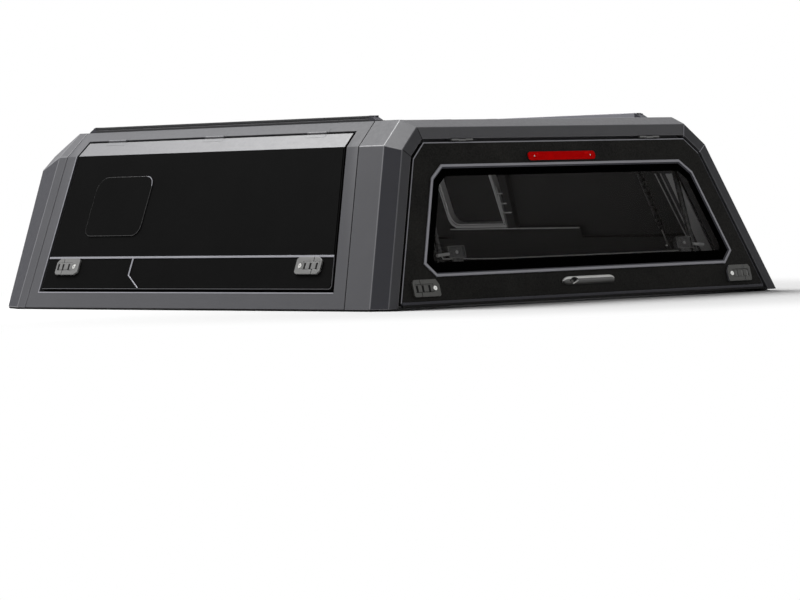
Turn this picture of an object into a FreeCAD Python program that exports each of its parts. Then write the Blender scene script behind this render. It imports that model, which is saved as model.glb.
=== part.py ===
"""Pickup truck canopy: a steel shell with a lift-up door on each side and a lift-up rear hatch.

X runs to the right, Y forward and Z up. The origin is the centre of the canopy's box on the
truck's side rails. Stations are distances forward of the rear face's lower edge.
"""
import FreeCAD, Part
import math
import os
import Sketcher

SIZES = [
    ("base_width", 1724, "over the side faces at the foot"),
    ("crease_inset", 189.5, "inward lean of the side face, foot to crease"),
    ("roof_inset", 86, "inward lean of the roof chamfer"),
    ("roof_height", 550, "roof above the frame's foot"),
    ("chamfer_rise", 75, "roof above the crease between side face and chamfer"),
    ("rail_seal_thickness", 5, "rubber between the frame and the truck"),
    ("rail_seal_width", 36, "rubber under the frame"),
    ("rail_seal_inset", 2, "rubber, in from the frame's outer edge"),
    ("rear_lean", 14.8, "degrees that the rear face leans forward"),
    ("front_lean", 6.6, "degrees that the front face leans forward"),
    ("facet_angle", 22.8, "degrees between a side face and a corner facet"),
    ("rear_facet_depth", 54.6, "rear face to the rear edge of the side face"),
    ("rear_post_side", 107.9, "rear post along the side face"),
    ("rear_jamb", 54.1, "side frame behind its opening"),
    ("door_opening_length", 1405.2, "side opening at the foot"),
    ("front_jamb", 50.3, "side frame ahead of its opening"),
    ("front_post_side", 39.9, "front post along the side face"),
    ("front_nose", 112, "front face ahead of the side face, at the foot"),
    ("front_rim_width", 150, "side face to the inner edge of the front post"),
    ("frame_depth", 38, "depth of posts, sills and headers"),
    ("front_rim_depth", 26, "depth of the front rim"),
    ("rear_rim_width", 35.4, "width of the rear facet"),
    ("hatch_rebate", 36, "rear facet to the ledge behind the hatch"),
    ("ledge_width", 26, "ledge that a door closes on"),
    ("ledge_thickness", 8, "thickness of that ledge"),
    ("door_rebate", 32, "side face to the ledge behind a door"),
    ("door_gap", 9, "gap round a door"),
    ("sill_height", 53, "sill, up the side face"),
    ("header_drop", 43, "header, from the roof edge down the chamfer"),
    ("header_shelf", 48, "header, from the roof edge inward under the roof"),
    ("roof_sheet", 3, "roof panel thickness"),
    ("bow_width", 60, "roof bow"),
    ("bow_depth", 22, "roof bow"),
    ("bow_front_inset", 422, "front roof bow from the front post"),
    ("bow_pitch", 500, "between the roof bows"),
    ("roof_bead_width", 70, "raised bead in the roof"),
    ("roof_bead_height", 5, "raised bead in the roof"),
    ("roof_bead_pitch", 200, "between the beads"),
    ("rail_width", 28, "roof rail"),
    ("rail_height", 17, "roof rail"),
    ("rail_setback", 1, "roof rail from the roof edge"),
    ("rail_rear_lap", 5, "roof rail over the rear post"),
    ("rail_front_gap", 10, "roof rail to the front post"),
    ("rail_end_slope", 32, "length of the sloped rail end"),
    ("wall_sheet", 3, "front wall thickness"),
    ("front_window_sill", 120, "front window opening above the foot"),
    ("front_window_head", 53, "front top beam to the window opening"),
    ("front_window_margin", 61, "front post to the window opening"),
    ("front_seal_lap", 14, "front window seal beyond the opening"),
    ("front_seal_depth", 6, "front window seal"),
    ("glass_thickness", 4, "every pane"),
    ("pane_clearance", 0.3, "between a pane and what holds it"),
    ("door_skin", 2, "black door panel"),
    ("door_rim", 4, "door frame edge seen round the panel"),
    ("door_frame_depth", 24, "door frame, from the side face"),
    ("door_rail_width", 45, "stiles and rails of a door"),
    ("door_corner_radius", 14, "rounded lower panel corners"),
    ("belt_height", 163, "belt strip, up the side face"),
    ("belt_width", 6.5, "belt strip"),
    ("trim_relief", 2, "trim proud of the panel"),
    ("chevron_inset", 415, "chevron from the door's front edge"),
    ("chevron_bend_drop", 56, "chevron's bend below the belt"),
    ("chevron_run", 60, "chevron, from the bend rearward"),
    ("cover_inset", 142, "cover plate from the door's front edge"),
    ("cover_length", 271, "cover plate"),
    ("cover_rise", 68.5, "cover plate above the belt strip"),
    ("cover_drop", 75.4, "cover plate below the crease"),
    ("cover_relief", 3, "cover plate proud of the panel"),
    ("lock_length", 112, "door lock plate"),
    ("lock_height", 53.5, "door lock plate"),
    ("lock_bottom", 109, "door lock plate, up the side face"),
    ("lock_front_inset", 52, "front lock plate from the door's front edge"),
    ("lock_rear_inset", 50.5, "rear lock plate from the door's rear edge"),
    ("lock_skew", 8, "slant of the lock plate's ends"),
    ("lock_relief", 6, "lock plate proud of the panel"),
    ("paddle_length", 72, "lock paddle"),
    ("paddle_height", 24, "lock paddle"),
    ("paddle_thickness", 4, "lock paddle"),
    ("paddle_inset", 9, "paddle from the lock plate's outer end"),
    ("paddle_gap", 1.2, "round a paddle"),
    ("paddle_pin_radius", 1.2, "pin in a paddle's rounded upper edge"),
    ("paddle_pin_reach", 5, "that pin, beyond each end of the paddle"),
    ("hinge_length", 86, "knuckle"),
    ("knuckle_radius", 5, "knuckle"),
    ("hinge_pin_radius", 2.5, "hinge pin"),
    ("hinge_running_gap", 0.3, "between knuckles on one pin"),
    ("pin_clearance", 0.05, "round a hinge pin"),
    ("hinge_leaf_thickness", 2.5, "hinge leaf"),
    ("hinge_leaf_width", 20, "hinge leaf, from the gap's middle"),
    ("hinge_leaf_gap", 1, "knuckle to the other half's leaf"),
    ("front_hinge_inset", 141, "front side hinge from the door's front edge"),
    ("rear_hinge_inset", 161, "rear side hinge from the door's rear edge"),
    ("hatch_hinge_inset", 157, "hatch hinge from the hatch's top corner"),
    ("hatch_bottom", 15, "hatch's lower edge, up the rear face"),
    ("hatch_frame_depth", 28, "frame of the hatch"),
    ("window_side_margin", 70.5, "hatch's side edge to the window surround"),
    ("window_top_margin", 70, "hatch's top edge to the window surround"),
    ("window_foot_margin", 75, "hatch's lower edge to the window surround"),
    ("window_top_cut", 35, "surround's upper corner cut, across"),
    ("window_foot_cut", 56, "surround's lower corner cut, across"),
    ("window_cut_height", 40, "surround's corner cuts, up the rear face"),
    ("surround_width", 12, "window surround"),
    ("surround_relief", 4, "window surround proud of the hatch"),
    ("brake_light_length", 290, "brake light"),
    ("brake_light_height", 28, "brake light"),
    ("brake_light_drop", 35.7, "hatch's top edge to the brake light"),
    ("brake_light_relief", 6, "brake light proud of the hatch"),
    ("handle_half_length", 111, "hatch handle"),
    ("handle_top_half_length", 98, "hatch handle"),
    ("handle_rise", 28, "hatch handle above the hatch's lower edge"),
    ("handle_lower_height", 14, "hatch handle, up to its widest line"),
    ("handle_upper_height", 16, "hatch handle, above its widest line"),
    ("handle_relief", 9, "hatch handle proud of the hatch"),
    ("hatch_lock_length", 106, "hatch lock plate"),
    ("hatch_lock_height", 52, "hatch lock plate"),
    ("hatch_lock_rise", 16, "hatch lock plate above the hatch's lower edge"),
    ("hatch_lock_inset", 39, "hatch lock plate from the hatch's side edge"),
    ("strut_radius", 9, "gas strut tube"),
    ("rod_radius", 4, "gas strut rod"),
    ("rod_stub", 60, "rod between the tube's end and the eye when closed"),
    ("rod_engagement", 40, "rod left in the tube when open"),
    ("eye_radius", 9, "strut eye"),
    ("eye_width", 10, "strut eye"),
    ("stud_radius", 4, "strut stud"),
    ("stud_clearance", 0.3, "strut stud in its eye"),
    ("stud_overhang", 2, "frame's stud beyond its eye"),
    ("strut_anchor", 78, "hinge axis to the strut's pivot on the frame"),
    ("strut_anchor_angle", 46, "degrees from the door to that pivot"),
    ("strut_stand_off", 14, "door frame's back to the stud's axis"),
    ("strut_room", 30, "ledge beside a door to the strut's middle"),
    ("strut_clearance", 6, "strut tube to the bracket beside it"),
    ("stud_height", 170, "stud and middle rail of a door, up the side face"),
    ("stud_reach", 8, "door's stud, from its bracket"),
    ("stud_end_gap", 0.5, "door's stud to the rod's eye beside it"),
    ("hatch_stud_rise", 47, "stud of the hatch above the hatch's lower edge"),
    ("hatch_strut_inset", 70, "hatch's crease corner to a strut"),
    ("bracket_thickness", 5, "strut bracket"),
    ("bracket_width", 26, "strut bracket"),
    ("door_travel", 75, "degrees that a side door opens"),
    ("hatch_travel", 80, "degrees that the hatch opens"),
]

doc = FreeCAD.newDocument("PickupCanopy")
sheet = doc.addObject("Spreadsheet::Sheet", "Sizes")
for row, (alias, value, note) in enumerate(SIZES, start=1):
    sheet.set(f"A{row}", note)
    sheet.set(f"B{row}", str(value))
    sheet.setAlias(f"B{row}", alias)
doc.recompute()

pieces = {}


def size(name):
    return float(sheet.get(name))


def vec(x, y, z):
    return FreeCAD.Vector(x, y, z)


def tangent(name):
    return math.tan(math.radians(size(name)))


# The cross-section: side face, roof chamfer and roof, and its lines offset inward

foot_z = size("rail_seal_thickness")
foot_x = size("base_width") / 2
crease_x = foot_x - size("crease_inset")
outline = [
    (foot_x, 0.0),
    (crease_x, size("roof_height") - size("chamfer_rise")),
    (crease_x - size("roof_inset"), size("roof_height")),
    (0.0, size("roof_height")),
]


def side_lean():
    return math.atan2(outline[0][0] - outline[1][0], outline[1][1])


def chamfer_lean():
    return math.atan2(outline[1][0] - outline[2][0], outline[2][1] - outline[1][1])


def inward_line(index, offset):
    """The offset line of outline edge index, as its unit normal and distance."""
    (x0, z0), (x1, z1) = outline[index], outline[index + 1]
    length = math.hypot(x1 - x0, z1 - z0)
    normal = ((z1 - z0) / length, -(x1 - x0) / length)
    return normal, normal[0] * x0 + normal[1] * z0 - offset


def meet(line, other):
    """The point where two lines meet."""
    (a, b), c = line
    (d, e), f = other
    determinant = a * e - b * d
    return (c * e - b * f) / determinant, (a * f - c * d) / determinant


def corner(index, offset):
    """Corner of the cross-section at an inward offset: 0 foot, 1 crease, 2 roof edge."""
    if index == 0:
        return meet(inward_line(0, offset), ((0.0, 1.0), 0.0))
    return meet(inward_line(index - 1, offset), inward_line(index, offset))


# Stations: the rear and front faces lean, so a station shifts with height

rear_slope = tangent("rear_lean")
front_slope = tangent("front_lean")
facet_slope = tangent("facet_angle")
rear_seam = size("rear_facet_depth") + size("rear_post_side")
door_rear = rear_seam + size("rear_jamb")
door_front = door_rear + size("door_opening_length")
front_seam = door_front + size("front_jamb")
front_edge = front_seam + size("front_post_side")
front_foot = front_edge + size("front_nose")


def front_corner(index, back=0.0, inner=0.0):
    """Offset and station where a corner facet, moved inward, meets the front face, moved back."""
    low, high = 0.0, size("front_rim_width")
    for _ in range(60):
        offset = (low + high) / 2
        station = front_edge + (offset - inner) / facet_slope
        limit = front_foot - back + front_slope * corner(index, offset)[1]
        if station < limit:
            low = offset
        else:
            high = offset
    return offset, station


overall_length = front_corner(2)[1]
origin_station = overall_length / 2


def point(x, z, station):
    return vec(x, station - origin_station, z + foot_z)


def rear_station(station, z):
    return station + rear_slope * z


def solid_through(rings):
    """A solid through rings of like corners, with flat faces between them."""
    count = len(rings[0])
    polygons = [rings[0], rings[-1]]
    for lower, upper in zip(rings, rings[1:]):
        for i in range(count):
            j = (i + 1) % count
            polygons.append([lower[i], lower[j], upper[j], upper[i]])
    faces = [Part.Face(Part.makePolygon(list(p) + [p[0]])) for p in polygons]
    shape = Part.makeSolid(Part.makeShell(faces))
    if shape.Volume < 0:
        shape.reverse()
    return shape


def keep(label, shape, placement=None):
    """A sub-part whose faces lean two ways, so its shape is worked out here."""
    feature = doc.addObject("Part::Feature", label)
    feature.Label = label
    feature.Shape = shape
    if placement is not None:
        feature.Placement = placement
    pieces[label] = feature
    return feature


def mirror(label, source):
    """The left-hand twin of a right-hand sub-part."""
    twin = doc.addObject("Part::Mirroring", label)
    twin.Label = label
    twin.Source = source
    twin.Normal = (1, 0, 0)
    twin.Base = (0, 0, 0)
    pieces[label] = twin
    return twin


def both_sides(name, feature):
    """Name a right-hand sub-part and add its left-hand twin."""
    feature.Label = "right_" + name
    pieces.pop(feature.Name, None)
    pieces["right_" + name] = feature
    mirror("left_" + name, feature)


# Planes that sub-parts are drawn on. Each has its second axis up the slope and its third outward


def plane(origin, along, up):
    out = along.cross(up)
    matrix = FreeCAD.Matrix(
        along.x, up.x, out.x, origin.x,
        along.y, up.y, out.y, origin.y,
        along.z, up.z, out.z, origin.z,
        0, 0, 0, 1)
    return FreeCAD.Placement(matrix)


side_plane = plane(
    point(outline[0][0], 0, 0), vec(0, 1, 0),
    vec(-math.sin(side_lean()), 0, math.cos(side_lean())))
chamfer_plane = plane(
    point(outline[1][0], outline[1][1], 0), vec(0, 1, 0),
    vec(-math.sin(chamfer_lean()), 0, math.cos(chamfer_lean())))
rear_lean = math.radians(size("rear_lean"))
rear_plane = plane(
    point(0, 0, 0), vec(1, 0, 0), vec(0, math.sin(rear_lean), math.cos(rear_lean)))
front_lean = math.radians(size("front_lean"))
front_plane = plane(
    point(0, 0, front_foot), vec(-1, 0, 0),
    vec(0, math.sin(front_lean), math.cos(front_lean)))
side_face_height = outline[1][1] / math.cos(side_lean())
chamfer_length = math.hypot(size("roof_inset"), size("chamfer_rise"))


def slab(corners, low, high):
    """A flat solid in a plane's own axes, between two heights above the plane."""
    points = [vec(x, y, low) for x, y in corners]
    face = Part.Face(Part.makePolygon(points + [points[0]]))
    return face.extrude(vec(0, 0, high - low))


def rounded(shape, radius, spots):
    """Round the edges square to the plane that stand at these corners."""
    edges = []
    for edge in shape.Edges:
        ends = [v.Point for v in edge.Vertexes]
        if len(ends) == 2 and math.hypot(ends[0].x - ends[1].x, ends[0].y - ends[1].y) < 1e-6:
            if any(math.hypot(ends[0].x - x, ends[0].y - y) < 1e-3 for x, y in spots):
                edges.append(edge)
    return shape.makeFillet(radius, edges)


def drawn_body(name, corners, thickness, placement, raised="0"):
    """A plate as a body: a sketch of straight lines bound to the sizes, and a pad.

    corners are pairs of expressions, and raised is the height of the sketch above the plane.
    """
    body = doc.addObject("PartDesign::Body", name)
    sketch = body.newObject("Sketcher::SketchObject", name + "_outline")
    base = [f for f in body.Origin.OriginFeatures if f.Role == "XY_Plane"][0]
    sketch.AttachmentSupport = (base, [""])
    sketch.MapMode = "FlatFace"
    sketch.setExpression("AttachmentOffset.Base.z", raised)
    count = len(corners)
    turn = 2 * math.pi / count
    first = [vec(100 * math.cos(i * turn), 100 * math.sin(i * turn), 0) for i in range(count)]
    for i in range(count):
        sketch.addGeometry(Part.LineSegment(first[i], first[(i + 1) % count]), False)
    for i in range(count):
        sketch.addConstraint(Sketcher.Constraint("Coincident", i, 2, (i + 1) % count, 1))
    for i, (across, up) in enumerate(corners):
        number = sketch.addConstraint(Sketcher.Constraint("DistanceX", -1, 1, i, 1, first[i].x))
        sketch.setExpression(f"Constraints[{number}]", across)
        number = sketch.addConstraint(Sketcher.Constraint("DistanceY", -1, 1, i, 1, first[i].y))
        sketch.setExpression(f"Constraints[{number}]", up)
    pad = body.newObject("PartDesign::Pad", name + "_pad")
    pad.Profile = sketch
    pad.setExpression("Length", thickness)
    sketch.Visibility = False
    body.Placement = placement
    pieces[name] = body
    return body


def on_side(offset, up):
    """A point of the cross-section beside the side face, measured up it and inward from it."""
    lean = side_lean()
    return (outline[0][0] - up * math.sin(lean) - offset * math.cos(lean),
            up * math.cos(lean) - offset * math.sin(lean))


def on_chamfer(offset, up):
    """The same beside the roof chamfer, measured up from the crease."""
    lean = chamfer_lean()
    return (outline[1][0] - up * math.sin(lean) - offset * math.cos(lean),
            outline[1][1] + up * math.cos(lean) - offset * math.sin(lean))


def bar(section, rear, front):
    """A member along the truck: its cross-section between two station functions of height."""
    return solid_through([
        [point(x, z, rear(z)) for x, z in section],
        [point(x, z, front(z)) for x, z in section]])


def mirrored_ring(ring):
    return [vec(-p.x, p.y, p.z) for p in ring]


# Posts, beams and side frames

rear_rim_offset = size("rear_facet_depth") * facet_slope
rear_rim_inner = rear_rim_offset + size("rear_rim_width")
ledge_back = size("door_rebate") + size("ledge_thickness")
header_start = chamfer_length - size("header_drop")


def at_front_seam(z):
    return front_seam


def at_rear_seam(z):
    return rear_station(rear_seam, z)


def at_door_front(z):
    return door_front


def at_door_rear(z):
    return rear_station(door_rear, z)


def rear_post_ring(index):
    ledge = size("hatch_rebate") + size("ledge_thickness")
    profile = [
        (0, rear_seam),
        (0, size("rear_facet_depth")),
        (rear_rim_offset, 0),
        (rear_rim_inner, 0),
        (rear_rim_inner, size("hatch_rebate")),
        (rear_rim_inner + size("ledge_width"), size("hatch_rebate")),
        (rear_rim_inner + size("ledge_width"), ledge),
        (size("frame_depth"), ledge),
        (size("frame_depth"), rear_seam),
    ]
    ring = []
    for offset, station in profile:
        x, z = corner(index, offset)
        ring.append(point(x, z, rear_station(station, z)))
    return ring


def front_station(z, back=0.0):
    return front_foot - back + front_slope * z


def front_post_ring(index):
    rim = corner(index, size("front_rim_width"))
    facet = front_corner(index)
    inner = front_corner(index, size("front_rim_depth"), size("frame_depth"))
    return [
        point(*corner(index, 0), front_seam),
        point(*corner(index, 0), front_edge),
        point(*corner(index, facet[0]), facet[1]),
        point(*rim, front_station(rim[1])),
        point(*rim, front_station(rim[1], size("front_rim_depth"))),
        point(*corner(index, inner[0]), inner[1]),
        point(*corner(index, size("frame_depth")), front_edge),
        point(*corner(index, size("frame_depth")), front_seam),
    ]


def add_posts_and_beams():
    """Each post runs from the foot over the crease to the roof edge, where its beam takes over."""
    for name, ring in (("rear", rear_post_ring), ("front", front_post_ring)):
        post = solid_through([ring(index) for index in range(3)])
        both_sides(name + "_post", keep(name + "_post", post))
        keep(name + "_top_beam", solid_through([ring(2), mirrored_ring(ring(2))]))


def jamb(edge, ledge, seam, shift):
    """An upright of the side frame, with the ledge that the door closes on."""
    rebate = size("door_rebate")
    profile = [
        (0, seam), (0, edge), (rebate, edge),
        (rebate, ledge), (ledge_back, ledge), (ledge_back, seam)]
    rings = []
    for index in range(3):
        ring = []
        for offset, station in profile:
            x, z = corner(index, offset)
            ring.append(point(x, z, station + shift * z))
        rings.append(ring)
    return solid_through(rings)


def add_side_frames():
    rebate = size("door_rebate")
    ledge = size("ledge_width")
    sill = size("sill_height")
    front = jamb(door_front, door_front - ledge, front_seam, 0.0)
    rear = jamb(door_rear, door_rear + ledge, rear_seam, rear_slope)
    sill_section = [
        corner(0, 0), on_side(0, sill), on_side(rebate, sill), on_side(rebate, sill + ledge),
        on_side(ledge_back, sill + ledge), corner(0, ledge_back)]
    roof_edge = corner(2, 0)
    shelf = roof_edge[0] - size("header_shelf")
    header_section = [
        on_chamfer(0, header_start), roof_edge, (shelf, roof_edge[1]), (shelf, roof_edge[1] - ledge_back),
        corner(2, ledge_back), on_chamfer(ledge_back, header_start - ledge),
        on_chamfer(rebate, header_start - ledge), on_chamfer(rebate, header_start)]
    lower = bar(sill_section, at_door_rear, at_door_front)
    upper = bar(header_section, at_rear_seam, at_front_seam)
    shape = front.multiFuse([rear, lower, upper]).removeSplitter()
    both_sides("side_frame", keep("side_frame", shape))


def inset_loop(loop, inset):
    """A closed outline, given anticlockwise, set in from its own edges."""
    count = len(loop)
    lines = []
    for i in range(count):
        (x0, y0), (x1, y1) = loop[i], loop[(i + 1) % count]
        length = math.hypot(x1 - x0, y1 - y0)
        normal = ((y1 - y0) / length, -(x1 - x0) / length)
        lines.append((normal, normal[0] * x0 + normal[1] * y0 - inset))
    return [meet(lines[i - 1], lines[i]) for i in range(count)]


def foot_plan(rear):
    """The frame's foot seen from above, from this station forward."""
    facet = front_corner(0)
    nose_x = corner(0, facet[0])[0]
    right = [(foot_x, rear), (foot_x, front_edge), (nose_x, facet[1])]
    return right + [(-x, station) for x, station in reversed(right)]


def add_rail_seal():
    """Rubber under the two sides and the front, open at the rear."""
    inset = size("rail_seal_inset")
    inner = inset + size("rail_seal_width")
    rear = size("rear_facet_depth")
    strip = slab(inset_loop(foot_plan(rear), inset), 0, foot_z)
    strip = strip.cut(slab(inset_loop(foot_plan(rear - 2 * inner), inner), 0, foot_z))
    keep("rail_seal", strip, FreeCAD.Placement(vec(0, -origin_station, 0), FreeCAD.Rotation()))


# Front wall and window


SIDE_RISE = "(Sizes.roof_height - Sizes.chamfer_rise)"
SIDE_FACE = f"hypot({SIDE_RISE}; Sizes.crease_inset)"
WINDOW_HEAD = "(Sizes.roof_height - Sizes.front_rim_width - Sizes.front_window_head * cos(Sizes.front_lean))"
POST_AT_HEAD = (f"(Sizes.base_width / 2 - {WINDOW_HEAD} * Sizes.crease_inset / {SIDE_RISE}"
                f" - Sizes.front_rim_width * {SIDE_FACE} / {SIDE_RISE})")


def add_front_wall():
    rim = [corner(i, size("front_rim_width")) for i in range(3)]
    loop = rim + [(-x, z) for x, z in reversed(rim)]
    sheet_back = size("wall_sheet")
    wall = solid_through([
        [point(x, z, front_station(z)) for x, z in loop],
        [point(x, z, front_station(z, sheet_back)) for x, z in loop]])
    pane = doc.addObject("Part::Box", "front_window_glass")
    pane.setExpression(
        "Length", f"2 * ({POST_AT_HEAD} - Sizes.front_window_margin - Sizes.pane_clearance)")
    pane.setExpression(
        "Width", f"{WINDOW_HEAD} / cos(Sizes.front_lean)"
        " - Sizes.front_window_sill - 2 * Sizes.pane_clearance")
    pane.setExpression("Height", "Sizes.glass_thickness")
    doc.recompute()
    gap = size("pane_clearance")
    half = pane.Length.Value / 2 + gap
    low = size("front_window_sill")
    high = low + pane.Width.Value + 2 * gap
    pane.Placement = front_plane.multiply(FreeCAD.Placement(
        vec(-half + gap, low + gap, -size("glass_thickness")), FreeCAD.Rotation()))
    pieces["front_window_glass"] = pane
    reach = size("front_rim_depth")
    opening = slab([(-half, low), (half, low), (half, high), (-half, high)], -reach, reach)
    opening.Placement = front_plane
    keep("front_wall", wall.cut(opening))
    lap = size("front_seal_lap")
    depth = size("front_seal_depth")
    outer = slab([(-half - lap, low - lap), (half + lap, low - lap),
                  (half + lap, high + lap), (-half - lap, high + lap)], 0, depth)
    inner = slab([(-half + lap, low + lap), (half - lap, low + lap),
                  (half - lap, high - lap), (-half + lap, high - lap)], 0, depth)
    keep("front_window_seal", outer.cut(inner), front_plane)


# Roof


SHELF_LENGTH = ("Sizes.rear_jamb + Sizes.door_opening_length + Sizes.front_jamb"
                " - Sizes.roof_height * tan(Sizes.rear_lean)")
SHELF_SPAN = "Sizes.base_width - 2 * (Sizes.crease_inset + Sizes.roof_inset + Sizes.header_shelf)"


def roof_plate(name, across, width, length, height, underside, station):
    """A flat piece of the roof: its left edge, three expressions for its size, and its place."""
    plate = doc.addObject("Part::Box", name)
    plate.setExpression("Length", width)
    plate.setExpression("Width", length)
    plate.setExpression("Height", height)
    plate.Placement.Base = point(across, underside, station)
    return plate


def add_roof():
    half = outline[2][0] - size("header_shelf")
    rear = rear_station(rear_seam, size("roof_height"))
    underside = size("roof_height") - size("roof_sheet")
    parts = [roof_plate("roof_sheet_flat", -half, SHELF_SPAN, SHELF_LENGTH,
                        "Sizes.roof_sheet", underside, rear)]
    width = size("roof_bead_width")
    pitch = size("roof_bead_pitch")
    beads = int((half - 1.5 * width) / pitch)
    for number in range(-beads, beads + 1):
        parts.append(roof_plate(
            f"roof_bead_{number + beads + 1}", number * pitch - width / 2, "Sizes.roof_bead_width",
            SHELF_LENGTH + " - 2 * Sizes.roof_bead_width",
            "Sizes.roof_bead_height + Sizes.roof_sheet", underside, rear + width))
    roof = doc.addObject("Part::MultiFuse", "roof_panel")
    roof.Shapes = parts
    pieces["roof_panel"] = roof
    front_bow = front_seam - size("bow_front_inset")
    bows = []
    for name, middle in (("front_bow", front_bow), ("rear_bow", front_bow - size("bow_pitch"))):
        bows.append(roof_plate(
            name, -half, SHELF_SPAN, "Sizes.bow_width", "Sizes.bow_depth",
            underside - size("bow_depth"), middle - size("bow_width") / 2))
    pair = doc.addObject("Part::Compound", "roof_bows")
    pair.Links = bows
    pieces["roof_bows"] = pair


def add_roof_rails():
    length = SHELF_LENGTH + " + Sizes.rail_rear_lap - Sizes.rail_front_gap"
    corners = [
        ("0", "0"),
        (length, "0"),
        (length + " - Sizes.rail_end_slope", "Sizes.rail_height"),
        ("Sizes.rail_end_slope", "Sizes.rail_height")]
    inner = outline[2][0] - size("rail_width") - size("rail_setback")
    top = size("roof_height")
    rear = rear_station(rear_seam, top) - size("rail_rear_lap")
    place = plane(point(inner, top, rear), vec(0, 1, 0), vec(0, 0, 1))
    both_sides("roof_rail", drawn_body("roof_rail", corners, "Sizes.rail_width", place))


# Side doors, drawn for the right-hand side

door_foot = size("sill_height") + size("door_gap")
door_head = header_start - size("door_gap")
door_front_edge = door_front - size("door_gap")
door_rear_edge = door_rear + size("door_gap")
rear_shear = rear_slope * math.cos(side_lean())


def at_door_front_edge(z):
    return door_front_edge


def at_door_rear_edge(z):
    return rear_station(door_rear_edge, z)


def stile(edge, width, shift):
    """An upright of the door frame, from the bottom rail into the top rail."""
    skin = size("door_skin")
    depth = size("door_frame_depth")
    rings = []
    for up in (door_foot, side_face_height - size("door_rail_width") / 2):
        ring = []
        for offset, station in ((skin, edge), (skin, edge + width), (depth, edge + width), (depth, edge)):
            x, z = on_side(offset, up)
            ring.append(point(x, z, station + shift * z))
        rings.append(ring)
    return solid_through(rings)


def add_door_frame():
    skin = size("door_skin")
    depth = size("door_frame_depth")
    width = size("door_rail_width")
    lap = side_face_height - width
    top_section = [
        corner(1, 0), on_chamfer(0, door_head), on_chamfer(depth, door_head), corner(1, depth),
        on_side(depth, lap), on_side(skin, lap), on_side(skin, side_face_height)]
    top = bar(top_section, at_door_rear_edge, at_door_front_edge)
    rails = []
    middle = size("stud_height")
    for low, high in ((door_foot, door_foot + width), (middle - width / 2, middle + width / 2)):
        section = [on_side(skin, low), on_side(skin, high), on_side(depth, high), on_side(depth, low)]
        rails.append(bar(section, at_door_rear_edge, at_door_front_edge))
    front = stile(door_front_edge, -width, 0.0)
    rear = stile(door_rear_edge, width, rear_slope)
    shape = top.multiFuse(rails + [front, rear]).removeSplitter()
    both_sides("door_frame", keep("door_frame", shape))


def add_door_panel():
    rim = size("door_rim")
    low = door_foot + rim
    high = side_face_height
    front = door_front_edge - rim
    rear = door_rear_edge + rim
    corners = [(rear + rear_shear * low, low), (front, low), (front, high), (rear + rear_shear * high, high)]
    panel = rounded(slab(corners, -size("door_skin"), 0), size("door_corner_radius"), corners[:2])
    both_sides("door_panel", keep("door_panel", panel, side_plane))


def add_door_trim():
    """The belt strip across the panel and the chevron that drops from it, as one strip."""
    relief = size("trim_relief")
    low = size("belt_height")
    high = low + size("belt_width")
    rim = size("door_rim")
    front = door_front_edge - rim
    rear = door_rear_edge + rim
    width = size("belt_width")
    top = door_front_edge - size("chevron_inset")
    bend = low - size("chevron_bend_drop")
    run = size("chevron_run")
    foot = door_foot + rim
    corners = [
        (rear + rear_shear * low, low), (top - width, low), (top - width, bend), (top - width - run, foot),
        (top - run, foot), (top, bend), (top, low), (front, low), (front, high),
        (rear + rear_shear * high, high)]
    both_sides("door_trim", keep("door_trim", slab(corners, 0, relief), side_plane))


def add_cover_plate():
    front = ("Sizes.rear_facet_depth + Sizes.rear_post_side + Sizes.rear_jamb"
             " + Sizes.door_opening_length - Sizes.door_gap - Sizes.cover_inset")
    rear = front + " - Sizes.cover_length"
    bottom = "Sizes.belt_height + Sizes.belt_width + Sizes.cover_rise"
    top = SIDE_FACE + " - Sizes.cover_drop"
    corners = [(rear, bottom), (front, bottom), (front, top), (rear, top)]
    both_sides("cover_plate", drawn_body("cover_plate", corners, "Sizes.cover_relief", side_plane))


def lock_plate(start, end, low, high, skew, relief):
    """A lock plate with the recess for its paddle. start is its outer end along the plane."""
    toward = 1 if end > start else -1
    corners = [(start, low), (end - toward * skew, low), (end, high), (start + toward * skew, high)]
    plate = slab(corners, 0, relief)
    outer, inner, bottom, top = paddle_box(start, toward, low, high)
    gap = size("paddle_gap")
    left, right = sorted((outer - toward * gap, inner + toward * gap))
    hollow = [(left, bottom - gap), (right, bottom - gap), (right, top + gap), (left, top + gap)]
    bore = paddle_pin(outer, inner, top, relief, size("pin_clearance"))
    return plate.cut([slab(hollow, recess_floor(relief), relief), bore])


def recess_floor(relief):
    return relief - size("paddle_thickness") - size("pane_clearance")


def paddle_box(start, toward, low, high):
    """Outer and inner ends and bottom and top of a paddle, in its plate's plane."""
    outer = start + toward * size("paddle_inset")
    inner = outer + toward * size("paddle_length")
    middle = (low + high) / 2
    half = size("paddle_height") / 2
    return outer, inner, middle - half, middle + half


def paddle_axis(top, relief):
    """Height up the plane and above it of a paddle's pin, the centre of its rounded edge."""
    radius = size("paddle_thickness") / 2
    return top - radius, relief - radius


def paddle_pin(outer, inner, top, relief, play=0.0):
    left, right = sorted((outer, inner))
    reach = size("paddle_pin_reach") + play
    up, out = paddle_axis(top, relief)
    return Part.makeCylinder(
        size("paddle_pin_radius") + play, right - left + 2 * reach, vec(left - reach, up, out), vec(1, 0, 0))


def paddle(start, toward, low, high, relief):
    """A flap with a rounded upper edge, and the pin that it turns on."""
    outer, inner, bottom, top = paddle_box(start, toward, low, high)
    left, right = sorted((outer, inner))
    thickness = size("paddle_thickness")
    up, out = paddle_axis(top, relief)
    flap = slab([(left, bottom), (right, bottom), (right, up), (left, up)], relief - thickness, relief)
    edge = Part.makeCylinder(thickness / 2, right - left, vec(left, up, out), vec(1, 0, 0))
    return flap.multiFuse([edge, paddle_pin(outer, inner, top, relief)]).removeSplitter()


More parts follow.
